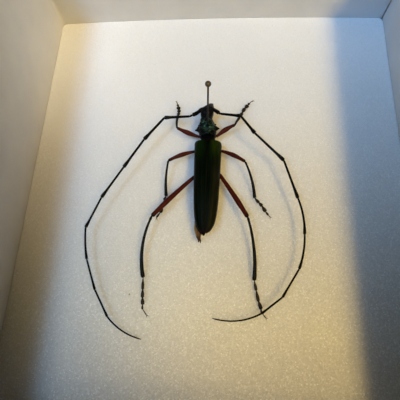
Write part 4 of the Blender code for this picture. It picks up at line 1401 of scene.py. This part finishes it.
def case_width(along):
    """Width of one wing case at a share of its length."""
    taper = 1 - 0.14 * along - 0.12 * along ** 3
    return ELYTRON_WIDTH * taper * np.sqrt(1 - np.clip(along, 0.0, 1.0) ** 10)


def case_height(aside, y):
    """Height of the wing cases' skin at a distance from the seam."""
    along = np.clip((ELYTRON_FRONT - y) / ELYTRON_LENGTH, 0.0, 0.9995)
    tail = np.maximum(0.0, (along - 0.38) / 0.62)
    front = np.maximum(0.0, 0.1 - along) / 0.1
    top = ELYTRON_TOP - ELYTRON_TAIL_DROP * tail ** 2.4 - 0.35 * front ** 2
    edge = ELYTRON_EDGE - 0.5 * tail
    share = np.minimum(aside / case_width(along), 1.0)
    return edge + (top - edge) * (1 - share ** ROOF_SQUARENESS) ** (1 / ROOF_SQUARENESS)


def wing_case_mesh(side):
    """One wing case, from the seam (share 0) down to its side edge (share 1)."""
    length = ELYTRON_LENGTH + (LEFT_CASE_LONGER if side < 0 else 0.0)
    crowding = math.pi / 2 * 0.985
    along = (0.9995 * np.sin(np.linspace(0, 1, CASE_GRID[0]) * crowding) / math.sin(crowding))[:, None]
    share = np.sin(np.linspace(0, 1, CASE_GRID[1]) * math.pi / 2)[None, :]
    at_front = np.maximum(0, 1 - along / 0.1)
    notch = SCUTELLUM_NOTCH * np.maximum(0, 1 - share / 0.18) * at_front
    shoulder = SHOULDER_ROUND * share ** 14 * at_front
    y = ELYTRON_FRONT - length * along - notch - shoulder - FRONT_SET_BACK * at_front
    aside = share * case_width(along)
    z = case_height(aside, y)
    middle = step(along, 0.04, 0.16) * (1 - step(along, 0.80, 0.95))
    lift = sum(size * line_of(share, [rib], 0.035) for rib, size in RIBS) * middle
    seam_edge = line_of(share, [0.0], 0.045) - line_of(share, [0.10], 0.04)
    lift = lift + SEAM_EDGE * seam_edge * step(along, 0.08, 0.14)
    knob = np.exp(-(((along - 0.045) / 0.035) ** 2 + ((share - 0.72) / 0.16) ** 2))
    hollow = np.exp(-(((along - 0.07) / 0.05) ** 2 + ((share - 0.42) / 0.14) ** 2))
    z = z + lift + 0.16 * knob - 0.12 * hollow
    x = BODY_X + side * (SUTURE_GAP / 2 + aside)
    rows = np.stack(np.broadcast_arrays(x, y, z), -1)
    share_mark, along_mark = np.broadcast_arrays(share, along)
    if side < 0:
        rows, share_mark = rows[:, ::-1], share_mark[:, ::-1]
    relief = np.minimum(step(share_mark, 0.02, 0.08), 1 - step(share_mark, 0.95, 1.0))
    shell = through_rows(rows, closed=False, aside=share_mark.ravel(), along=along_mark.ravel(),
                         relief=relief.ravel())
    dimples = relief_step(WING_CASE_GREEN, (0.035, 0.24, 0.55), (0.07, 0.5), 6.0 + side, (1.0, 0.6, 1.0))
    return worked(shell.mesh("wing case", WING_CASE_GREEN), dimples,
                  ("SOLIDIFY", {"thickness": ELYTRON_THICK, "offset": -1.0, "use_even_offset": False}))


for side_name, side in SIDES.items():
    place(f"wing_case_{side_name}", wing_case_mesh(side), "wing_case_green", f"elytron_{side_name}")

# %% [markdown]
# The hind wings are folded away under the cases. The left one sticks out behind as a torn amber blade
# that ends in two ragged prongs, creased lengthwise where it folds. Cloth simulation could fold a whole
# wing, but only the tip shows, so each wing is a thin creased sheet from a few stations along the body,
# and Solidify gives it a thickness.

# %% Hind wings
WING_THICK = 0.084
WING_POINTS = 33
CREASE_DEPTH = 0.08
FORK_START = -13.2
FORK_LENGTH = 1.7
UNDER_CASE = 0.5
WING_STATIONS = {
    "left": [(11.0, 1.6, 0.7, None), (6.0, 1.7, 1.2, None), (0.0, 1.6, 1.2, None), (-5.0, 1.7, 1.1, None),
             (-8.0, 1.95, 1.1, 3.9), (-9.3, 2.05, 1.15, 3.3), (-10.6, 2.1, 1.15, 3.1),
             (-12.2, 1.95, 0.88, 2.9), (-13.6, 1.75, 0.58, 2.7), (-14.9, 1.48, 0.52, 2.6)],
    "right": [(11.0, 1.6, 0.7, None), (6.0, 1.7, 1.2, None), (0.0, 1.6, 1.2, None), (-5.0, 1.6, 1.1, None),
              (-8.0, 1.4, 0.8, 4.2), (-10.4, 0.9, 0.4, 3.5)],
}


def wing_mesh(side_name, side):
    """A creased sheet through (y, aside, half width, height) stations; no height is just under the case."""
    stations = []
    for y, aside, half, height in WING_STATIONS[side_name]:
        stations.append((y, aside, half, case_height(aside, y) - UNDER_CASE if height is None else height))
    shares = np.linspace(-1, 1, WING_POINTS)
    notch = 0.8 * line_of(shares, [-0.15], 0.24) + 0.75 * step(np.abs(shares), 0.62, 1.0)
    notch += 0.35 * step(shares, 0.0, 0.3)
    rows = []
    for y, aside, half, height in smooth_table(stations, 12):
        folds = CREASE_DEPTH * np.abs(np.sin(shares * 5.2)) * min(1.0, half / 0.5)
        split = np.clip((FORK_START - y) / FORK_LENGTH, 0, 1) * notch
        out = aside + shares * half
        droop = 0.5 * step(shares, 0.3, 1.0) * (y > -11)
        level = height - 0.1 * np.abs(shares) - folds - droop
        if y > -6:
            level = np.minimum(level, case_height(out, y) - UNDER_CASE)
        rows.append(np.column_stack([BODY_X + side * out, y + split, level]))
    rows = np.array(rows)
    if side < 0:
        rows = rows[:, ::-1]
    outer = np.broadcast_to(shares if side > 0 else shares[::-1], rows.shape[:2])
    mesh = through_rows(rows, closed=False, outer=outer.ravel()).mesh("wing", WING_AMBER)
    return worked(mesh, ("SOLIDIFY", {"thickness": WING_THICK, "offset": -1.0}))


for side_name, side in SIDES.items():
    place(f"wing_{side_name}", wing_mesh(side_name, side), "wing_amber", f"hind_wing_{side_name}")

# %% [markdown]
# A limb article is a bowed line with a radius at each point, swept by the limb tree. Curve objects with a
# bevel could do it too, but a line carries marks as well: how far along a point lies, how hairy the skin
# is there, and which way hair leans.


# %% Limb articles
def bowed(start, end, bow, share):
    """Places along an article that bows sideways by the given amount at its middle."""
    start, end = np.array(start, float), np.array(end, float)
    run = end - start
    sideways = unit(np.array([-run[1], run[0], 0.0]))
    share = np.asarray(share)[:, None]
    return start + run * share + sideways * (bow * 4 * share * (1 - share))


def swept(points, radii, material, sides, hairy):
    """A line through the points, with its marks, swept by the limb tree into a skin."""
    count = len(points)
    shell = Shell(points, [], thick=radii, along=np.linspace(0, 1, count),
                  way=unit(np.gradient(points, axis=0)), hairy=np.broadcast_to(hairy, count))
    line = shell.mesh("limb line")
    line.edges.add(count - 1)
    pairs = np.column_stack([np.arange(count - 1), np.arange(1, count)])
    line.edges.foreach_set("vertices", pairs.ravel())
    return worked(line, ("NODES", {"tree": LIMB, "Sides": sides, "Material": material}))


def hairy_mesh(mesh, density, length, thickness, lean, seed):
    """The mesh with bristles on its hairy parts: density per mm2, the rest in mm."""
    return worked(mesh, ("NODES", {
        "tree": BRISTLES, "Density": density, "Length": length, "Thickness": thickness, "Lean": lean,
        "Seed": seed, "Material": BRISTLE}))


def joined(*meshes):
    """Several meshes as one, with their own materials kept."""
    whole = bmesh.new()
    materials = []
    for mesh in meshes:
        for material in mesh.materials:
            if material not in materials:
                materials.append(material)
        remap = [materials.index(m) for m in mesh.materials]
        before = len(whole.faces)
        whole.from_mesh(mesh)
        whole.faces.ensure_lookup_table()
        for face in whole.faces[before:]:
            face.material_index = remap[face.material_index] if remap else 0
    result = bpy.data.meshes.new("joined")
    whole.to_mesh(result)
    whole.free()
    for material in materials:
        result.materials.append(material)
    return result


print("limb helpers ready")

# %% [markdown]
# The feelers have eleven articles each. The first is a thick club, the second a short ring, and the
# next ones are stalks that swell at their far end; the last is a long whip with a hooked tip. Modelled
# one by one they would drift apart, so the joints come from the measured model, and one rule shapes all
# twenty-two.

# %% Feelers
ANTENNA_JOINTS = {
    "left": [
        (-4.4, 26.7, 5.4), (-6.6, 24.6, 6.3), (-7.3, 24.0, 6.5), (-15.1, 23.2, 7.0), (-20.8, 15.8, 6.8),
        (-26.3, 6.8, 6.2), (-32.1, -2.6, 5.4), (-35.9, -11.6, 4.5), (-34.6, -20.6, 3.6), (-31.4, -28.8, 2.9),
        (-27.2, -35.8, 2.2), (-17.6, -41.2, 0.9)],
    "right": [
        (0.1, 27.0, 5.4), (1.6, 25.2, 6.6), (2.1, 24.7, 6.9), (8.2, 22.7, 9.0), (12.4, 17.2, 8.6),
        (20.8, 9.3, 7.0), (24.6, -1.8, 5.8), (26.2, -12.0, 4.7), (24.5, -21.4, 3.8), (20.0, -28.9, 3.0),
        (14.6, -33.2, 2.2), (1.3, -35.0, 0.9)],
}
ANTENNA_BOWS = {"left": {1: 0.2, 8: -0.25, 11: -0.9}, "right": {7: 0.55, 8: 0.45, 11: 1.3}}
ANTENNA_WIDTHS = [
    (1.02, 1.12), (0.5, 0.6), (0.62, 1.0), (0.6, 0.98), (0.55, 0.9), (0.5, 0.82), (0.46, 0.68), (0.44, 0.6),
    (0.42, 0.52), (0.4, 0.48), (0.38, 0.24)]
FEELER_POINTS = 36
NECK_REACH = 0.06
SCAPE_REACH = 0.55
NECK_WIDTH = 0.36
LIMB_SWELL = 0.10


def article_radii(number, share, near, far, length):
    """Radius along an article: a narrow neck, a stalk, a swollen far end, and a rounded tip."""
    near, far = near + LIMB_SWELL, far + LIMB_SWELL
    if number == 1:
        body = near / 2 + (far - near) / 2 * step(share, 0.1, 0.55) - 0.10 * far * step(share, 0.85, 1.0)
    elif number == 2:
        body = near / 2 + (far - near) / 2 * step(share, 0.1, 0.8)
    elif number == 11:
        body = near / 2 + (far - near) / 2 * share - 0.07 * step(share, 0.9, 1.0)
    else:
        body = near / 2 + (far + 0.1 - near) / 2 * (0.35 * share + 0.65 * step(share, 0.72, 0.94))
    from_start = np.maximum(share, 0) * length
    from_end = np.maximum(1 - share, 0) * length
    neck = NECK_WIDTH / near + (1 - NECK_WIDTH / near) * step(from_start, 0.02, 0.22)
    tip = np.sqrt(np.clip(0.35 + from_end / (far * 0.35), 0.02, 1))
    if number == 1:
        return body * tip
    return body * np.minimum(neck, 1.0) * tip


def feeler_article(side_name, number):
    """One article of a feeler, its points crowded towards both ends, where it changes most."""
    start, end = ANTENNA_JOINTS[side_name][number - 1:number + 1]
    length = math.dist(start, end)
    near, far = ANTENNA_WIDTHS[number - 1]
    reach = (SCAPE_REACH if number == 1 else NECK_REACH) / length
    t = np.linspace(0, 1, FEELER_POINTS)
    share = (1 + reach) * (t - 0.10 * np.sin(2 * math.pi * t)) - reach
    bow = ANTENNA_BOWS[side_name].get(number, 0.0)
    points = bowed(start, end, bow, share)
    radii = article_radii(number, share, near, far, length)
    hairy = 0.25 + 0.75 * step(share, 0.75, 0.95)
    mesh = swept(points, radii, ANTENNA_BLACK, 16, hairy)
    return hairy_mesh(mesh, 9.0, 0.24, 0.010, 1.6, number)


for side_name in ANTENNA_JOINTS:
    for number in range(1, len(ANTENNA_WIDTHS) + 1):
        node = f"antenna_{side_name}_{number:02d}"
        place(f"feeler_{side_name}_{number:02d}", feeler_article(side_name, number), "antenna_black", node)

# %% [markdown]
# Each leg has a red thigh with a black knee, a black shank with two little spurs, and a foot of four flat
# lobes with a thin claw joint. Six legs modelled one by one would differ by accident. Here they differ
# only in their joints, which come from the measured model, in how they bow, and in their widths.

# %% Legs: joints and widths
LEG_JOINTS = {
    "front_left": [
        (-4.7, 18.9, 3.0), (-11.3, 21.0, 4.6), (-11.8, 27.5, 1.2), (-11.7, 28.4, 1.0), (-11.7, 29.6, 0.8),
        (-12.0, 30.9, 0.7), (-12.3, 31.9, 0.6), (-12.9, 33.5, 0.5)],
    "front_right": [
        (1.2, 19.2, 3.0), (6.6, 22.2, 4.6), (8.0, 26.7, 1.2), (8.8, 28.5, 1.0), (9.6, 30.3, 0.8),
        (10.6, 31.6, 0.7), (11.2, 32.5, 0.6), (12.8, 33.7, 0.5)],
    "middle_left": [
        (-5.2, 13.8, 3.0), (-13.3, 9.8, 4.6), (-13.7, -0.4, 1.2), (-14.2, -1.4, 1.0), (-14.6, -3.4, 0.8),
        (-15.1, -5.2, 0.7), (-16.1, -6.7, 0.6), (-16.2, -7.6, 0.5)],
    "middle_right": [
        (2.3, 14.1, 3.0), (9.8, 9.8, 4.6), (12.8, -0.4, 1.2), (13.9, -1.6, 1.0), (14.9, -2.6, 0.8),
        (15.9, -4.2, 0.7), (16.7, -5.3, 0.6), (17.6, -6.4, 0.5)],
    "hind_left": [
        (-5.1, 5.5, 3.0), (-16.8, -7.9, 5.0), (-18.5, -24.9, 1.3), (-18.4, -27.7, 1.0), (-18.3, -30.0, 0.8),
        (-18.1, -31.9, 0.7), (-18.1, -33.2, 0.6), (-16.2, -35.6, 0.5)],
    "hind_right": [
        (2.1, 6.4, 3.0), (10.6, -7.5, 5.0), (12.6, -24.6, 1.3), (13.1, -26.9, 1.0), (13.7, -29.7, 0.8),
        (14.4, -31.8, 0.7), (14.6, -33.0, 0.6), (16.2, -34.8, 0.5)],
}
LEG_BOWS = {"front_left": (0.15, 0.3), "front_right": (0.3, 0.1), "middle_left": (-0.45, -0.4),
            "middle_right": (0.4, 0.55), "hind_left": (-0.25, -1.45), "hind_right": (0.15, 0.85)}
LEG_WIDTHS = {
    "front": {"thigh": (0.85, 1.52, 0.8), "shank": (0.5, 0.78), "foot": (0.95,)},
    "middle": {"thigh": (0.75, 1.36, 0.8), "shank": (0.48, 0.85), "foot": (0.8,)},
    "hind": {"thigh": (1.0, 1.5, 1.1), "shank": (0.55, 1.0), "foot": (0.72,)},
}


def leg_widths(leg, part):
    """The widths of a part of a leg, with the swell that every limb gets."""
    return [width + LIMB_SWELL for width in LEG_WIDTHS[leg.split("_")[0]][part]]


def rounded_ends(share, length, radius):
    """1 along an article, rounding off at both ends over about its own radius."""
    near = np.sqrt(np.clip(0.15 + share * length / radius, 0.03, 1))
    far = np.sqrt(np.clip(0.15 + (1 - share) * length / radius, 0.03, 1))
    return near * far


print("legs:", ", ".join(LEG_JOINTS))

# %% [markdown]
# A thigh is a spindle with a knob for the knee, and a short ring joins it to the body. It could be a
# turned shape that is bent afterwards; swept along its bowed line it is bent from the start.

# %% Thighs
HIP_REACH = 1.1
HIP_RADII = [[0.26], [0.40], [0.44], [0.42], [0.30]]


def hip(start, run):
    """The short ring between the thigh and the body, leaning in under the wing cases."""
    inward = HIP_REACH * unit(np.array([BODY_X - start[0], 0.0, 0.0]))
    places = [start + inward + (0, 0, -0.25), start + inward * 0.6 + (0, 0, -0.12), start + inward * 0.25,
              start + run * 0.15, start + run * 0.5]
    return horn(smooth_table(places, 4), smooth_table(HIP_RADII, 4)[:, 0], 18)


def thigh_mesh(leg):
    """A thigh: a spindle with a knee knob, a few hairs, and its hip."""
    start, end = LEG_JOINTS[leg][:2]
    root, belly, knee = leg_widths(leg, "thigh")
    peak = 0.7 if leg.startswith("hind") else 0.5
    share = np.linspace(0, 1, 44)
    width = np.interp(share, [0, 0.08, peak, 0.86, 0.93, 1],
                      [root, root, belly, knee * 1.02, knee * 1.12, knee])
    width = np.convolve(np.pad(width, 3, "edge"), np.ones(7) / 7, "valid")
    radii = width / 2 * rounded_ends(share, math.dist(start, end), knee * 0.4)
    points = bowed(start, end, LEG_BOWS[leg][0], share)
    mesh = hairy_mesh(swept(points, radii, THIGH_RED, 22, 0.3), 4.0, 0.20, 0.009, 1.5, 21)
    return joined(mesh, hip(points[0], unit(points[3] - points[0])).mesh("hip", THIGH_RED))


print(f"a front thigh is {math.dist(*LEG_JOINTS['front_left'][:2]):.1f} mm long")

# %% [markdown]
# A shank is a thin swept rod that widens to the ankle, with hair that thickens that way, as the mark
# 'hairy' says. The two spurs are small horns, joined to the mesh before the hair grows.


# %% Shanks
def shank_mesh(leg):
    """A shank that widens to the ankle, with two spurs there and hair towards its end."""
    start, end = LEG_JOINTS[leg][1:3]
    top, ankle = leg_widths(leg, "shank")
    length = math.dist(start, end)
    share = np.linspace(-0.1 / length, 1, 46)
    width = np.interp(share, [0, 0.03, 0.08, 0.5, 0.9, 0.97, 1],
                      [top, top * 1.2, top, (top + ankle) / 2, ankle, ankle * 1.1, ankle])
    radii = width / 2 * rounded_ends(np.maximum(share, 0), length, top * 0.4)
    points = bowed(start, end, LEG_BOWS[leg][1], share)
    mesh = swept(points, radii, SHANK_BLACK, 18, 0.35 + 0.65 * step(share, 0.4, 0.9))
    run = unit(points[-1] - points[-4])
    sideways = np.cross(run, (0.0, 0.0, 1.0))
    spurs = Shell([], [])
    for way in (-1, 1):
        root = points[-3] + sideways * way * ankle * 0.34 - np.array([0, 0, 0.12])
        tip = root + run * 0.75 + sideways * way * 0.16 - np.array([0, 0, 0.1])
        spurs += horn([root + (tip - root) * t for t in (0, 0.4, 0.8, 1)], [0.09, 0.075, 0.04, 0.01], 8)
    whole = joined(mesh, spurs.mesh("spurs", SHANK_BLACK))
    return hairy_mesh(whole, 11.0, 0.26, 0.010, 1.4, 31)


print(f"a hind shank is {math.dist(*LEG_JOINTS['hind_left'][1:3]):.1f} mm long")

# %% [markdown]
# A foot's lobes are flattened hearts with a brush of hair below, and no round sweep gives that, so they
# are lofted row by row. The cleft comes from pulling the middle of the last rows back. With the feet,
# each leg can be placed.

# %% Feet
LOBE_WIDTHS = (1.05, 1.15, 1.25, 0.7)
LOBE_CLEFTS = (0.25, 0.35, 0.7, 0.0)
LOBE_THICK = (0.46, 0.46, 0.46, 0.32)
LOBE_ROWS = 16
LOBE_SIDES = 20


def lobe(near, far, width, thick, cleft):
    """One flat foot lobe: narrow at its root, broad at its tip, with a cleft when it is two-lobed."""
    length = math.dist(near, far)
    run = unit(far - near)
    sideways = unit(np.cross(run, (0.0, 0.0, 1.0)))
    lift = np.cross(sideways, run)
    turns = np.linspace(0, 2 * math.pi, LOBE_SIDES, endpoint=False)
    c, s = np.cos(turns)[:, None], np.sin(turns)[:, None]
    split = 0.5 * cleft * length * (1 - np.minimum(np.abs(c) * 1.6, 1.0))
    rows = []
    for t in np.linspace(0, 1, LOBE_ROWS):
        tip_round = math.sqrt(max(1 - max(t - 0.82, 0) ** 2 / 0.0335, 0.02))
        tip_flat = math.sqrt(max(1 - max(t - 0.86, 0) ** 2 / 0.02, 0.03))
        half = width / 2 * (0.42 + 0.58 * step(t, 0.10, 0.62)) * tip_round
        deep = thick / 2 * (0.6 + 0.4 * step(t, 0.0, 0.4)) * tip_flat
        if t < 0.08:
            half *= 0.75
        back = split * step(t, 0.5, 1.0)
        rows.append(near + run * (t * length - back) + sideways * half * c + lift * deep * s)
    count = LOBE_ROWS * LOBE_SIDES
    under = np.tile(np.clip(-s[:, 0], 0, 1), LOBE_ROWS)
    return through_rows(rows, along=np.full(count, 0.5), way=np.tile(run - lift, (count, 1)),
                        hairy=0.25 + under)


def foot_mesh(leg):
    """Four lobes, a bowed claw joint and its two claws, with a brush of hair under the lobes."""
    nodes = np.array(LEG_JOINTS[leg][2:], float)
    width, = leg_widths(leg, "foot")
    shell = Shell([], [])
    for near, far, wide, thick, cleft in zip(nodes, nodes[1:-1], LOBE_WIDTHS, LOBE_THICK, LOBE_CLEFTS):
        shell += lobe(near, far + (far - near) * 0.18, width * wide, thick, cleft)
    ankle, tip = nodes[-2:]
    length = math.dist(ankle, tip)
    run = unit(tip - ankle)
    sideways = np.cross(run, (0.0, 0.0, 1.0))
    stalk = [ankle + run * length * t + (0, 0, 0.22 * math.sin(math.pi * t))
             for t in np.linspace(-0.1, 0.72, 8)]
    shell += horn(stalk, [0.07, 0.09, 0.1, 0.11, 0.13, 0.15, 0.16, 0.09], 12)
    for way in (-1, 1):
        claw = [stalk[-1] + run * (0.42 * t * length ** 0.5) + sideways * way * 0.38 * t ** 0.8
                - (0, 0, 0.30 * t * t) for t in np.linspace(0, 1, 6)]
        shell += horn(claw, [0.085, 0.08, 0.066, 0.05, 0.03, 0.008], 8)
    return hairy_mesh(shell.mesh("foot", FOOT_BROWN), 26.0, 0.16, 0.009, 0.6, 41)


for leg in LEG_JOINTS:
    place(f"thigh_{leg}", thigh_mesh(leg), "thigh_red", f"femur_{leg}")
    place(f"shank_{leg}", shank_mesh(leg), "shank_black", f"tibia_{leg}")
    place(f"foot_{leg}", foot_mesh(leg), "foot_brown", f"tarsus_{leg}")

# %% [markdown]
# The room is plain: a pale floor and a pale background, which only the camera sees. A bright background
# could light the scene too, but it would reach into the box, where the photograph has its own light.

# %% Floor and background
FLOOR_SIZE = 40.0
floor_mesh = bpy.data.meshes.new("floor")
floor_corners = [(across * FLOOR_SIZE, along * FLOOR_SIZE, 0)
                 for across, along in ((-1, -1), (1, -1), (1, 1), (-1, 1))]
floor_mesh.from_pydata(floor_corners, [], [(0, 1, 2, 3)])
floor = into_scene("floor", floor_mesh)
floor_mesh.materials.append(finish("floor", lambda g: {"Base Color": g.blend(
    g.fade(g.noise(g.millimetres(), 0.01), 0.3, 0.7), (0.55, 0.54, 0.52), (0.58, 0.57, 0.55))},
    Roughness=0.8))

scene = bpy.context.scene
world = bpy.data.worlds.new("studio")
scene.world = world
world.use_nodes = True
backdrop = world.node_tree.nodes["Background"]
backdrop.inputs["Color"].default_value = (0.66, 0.66, 0.65, 1.0)
backdrop.inputs["Strength"].default_value = 0.85
for kind in ("diffuse", "glossy", "transmission", "scatter"):
    setattr(world.cycles_visibility, kind, False)
print("floor:", 2 * FLOOR_SIZE, "m wide")

# %% [markdown]
# Inside the box the light is the photograph's: a warm strip that the right wall shades, and a cool strip
# that the left wall shades. Two large area lamps would give strips of one colour, so each strip is a row
# of small lamps that change along it. Light linking keeps box and room apart: each lamp lists the objects
# it lights, so the strips draw no coloured patches on the floor round the box.

# %% Light strips
LAMPS_IN_ROW = 9
LAMP_HEIGHT = 1.0
LAMP_SPREAD = 2.0
WALL_TOP = (FOAM_TOP + RIM_ABOVE_FOAM - LINER_BELOW_RIM) * MM
IN_THE_BOX = bpy.data.collections.new("lit by the strips")


def spot(name, stand, target, watts, colour, size, angle, softness):
    """A lamp at a stand, looking at a target, that lights only what is in the box."""
    data = bpy.data.lights.new(name, "SPOT")
    data.energy = watts
    data.color = colour
    data.shadow_soft_size = size
    data.spot_size = math.radians(angle)
    data.spot_blend = softness
    light = into_scene(name, data)
    light.location = stand
    light.rotation_euler = (Vector(target) - Vector(stand)).to_track_quat("-Z", "Y").to_euler()
    light.light_linking.receiver_collection = IN_THE_BOX


def lamp_side(shadow_edge):
    """How far aside a lamp hangs, so that the nearer wall's shadow on the foam ends at shadow_edge."""
    wall = math.copysign(HALF_WIDTH, shadow_edge)
    run = (wall - shadow_edge) / (RIM_ABOVE_FOAM - LINER_BELOW_RIM)
    return wall * MM + run * (LAMP_HEIGHT - WALL_TOP)


def lamp_row(name, radius, softness, first, last, powers):
    """A long lamp as a row of small ones, which change along it from the first to the last.

    Each end is (shadow edge, y, aim x, aim y, reach). Each power is (red, green, blue) in watts.
    """
    gaps = LAMPS_IN_ROW - 1
    marks = np.linspace(0, gaps, len(powers))
    for number in range(LAMPS_IN_ROW):
        edge, y, aim_x, aim_y, reach = (a + (b - a) * number / gaps for a, b in zip(first, last))
        now = [np.interp(number, marks, column) for column in zip(*powers)]
        edge += LAMP_SPREAD * (0, 1, -1)[number % 3]
        stand = (lamp_side(edge), y * MM, LAMP_HEIGHT)
        target = (aim_x * MM, aim_y * MM, FOAM_TOP * MM)
        angle = 2 * math.degrees(math.atan(reach * MM / math.dist(stand, target)))
        colour = [part / max(now) for part in now]
        spot(f"{name} {number + 1}", stand, target, max(now), colour, radius, angle, softness)


lamp_row("warm strip", 0.025, 0.045, (39.8, -220, 498.4, 124.4, 600), (35.5, -745, 545.9, 25.9, 600),
         ((9.5, 7.0, 2.9), (5.7, 4.0, 1.45), (3.3, 2.2, 0.6), (2.7, 1.95, 0.2), (3.2, 2.35, 0.02)))
lamp_row("cool strip", 0.045, 0.35, (-41.0, -200, -111.8, 49.1, 178), (-51.0, -350, 11.4, 170.5, 146),
         ((2.2, 2.0, 1.4), (2.0, 3.4, 4.9), (1.7, 3.6, 6.6), (0.6, 1.9, 4.7), (0.02, 0.1, 1.0)))
print("strips:", LAMPS_IN_ROW, "lamps each")

# %% [markdown]
# Two washes brighten the left wall, and two small pools lie on the foam where the strips are strongest.
# The strips themselves could be made brighter there, but nine lamps are too few for such small spots, so
# each has one narrow lamp: (name, shadow edge, y, place it looks at, watts, colour, angle).

# %% Washes and pools
POOLS = [
    ("wall wash", 40.0, -50, (-HALF_WIDTH, 55, FOAM_TOP + 35), 18.0, (1.0, 0.92, 0.76), 4.7),
    ("low wash", 40.0, -50, (-HALF_WIDTH, 24, FOAM_TOP + 8), 5.0, (1.0, 0.82, 0.70), 5.2),
    ("warm pool", 37.0, -450, (-15.8, -35.6, FOAM_TOP), 7.0, (1.0, 0.78, 0.25), 2.9),
    ("cool pool", -47.0, -300, (-28.3, -37.2, FOAM_TOP), 5.5, (0.2, 0.5, 1.0), 2.5),
]
for name, edge, y, target, watts, colour, angle in POOLS:
    spot(name, (lamp_side(edge), y * MM, LAMP_HEIGHT), [part * MM for part in target], watts, colour,
         0.02, angle, 0.9)

print("washes and pools:", len(POOLS))

# %% [markdown]
# The outside of the box and the floor get soft light from four sides, so that no side is lost in shade.
# An HDR picture of a studio would do, but four very soft suns need no file. Each object is then
# listed with the lamps that light it.

# %% Studio light
ROUND_THE_BOX = bpy.data.collections.new("lit by the studio")
STUDIO_HEIGHT = 52
STUDIO_SOFTNESS = 70
for turn, strength in ((-40, 1.55), (50, 1.05), (140, 1.2), (230, 1.3)):
    data = bpy.data.lights.new(f"studio {turn}", "SUN")
    data.energy = strength
    data.angle = math.radians(STUDIO_SOFTNESS)
    light = into_scene(data.name, data)
    light.rotation_euler = (math.radians(STUDIO_HEIGHT), 0, math.radians(turn))
    light.light_linking.receiver_collection = ROUND_THE_BOX
for piece in scene.objects:
    if piece.type == "MESH":
        (ROUND_THE_BOX if piece.name in ("floor", "tray") else IN_THE_BOX).objects.link(piece)
scene.view_settings.view_transform = "Standard"
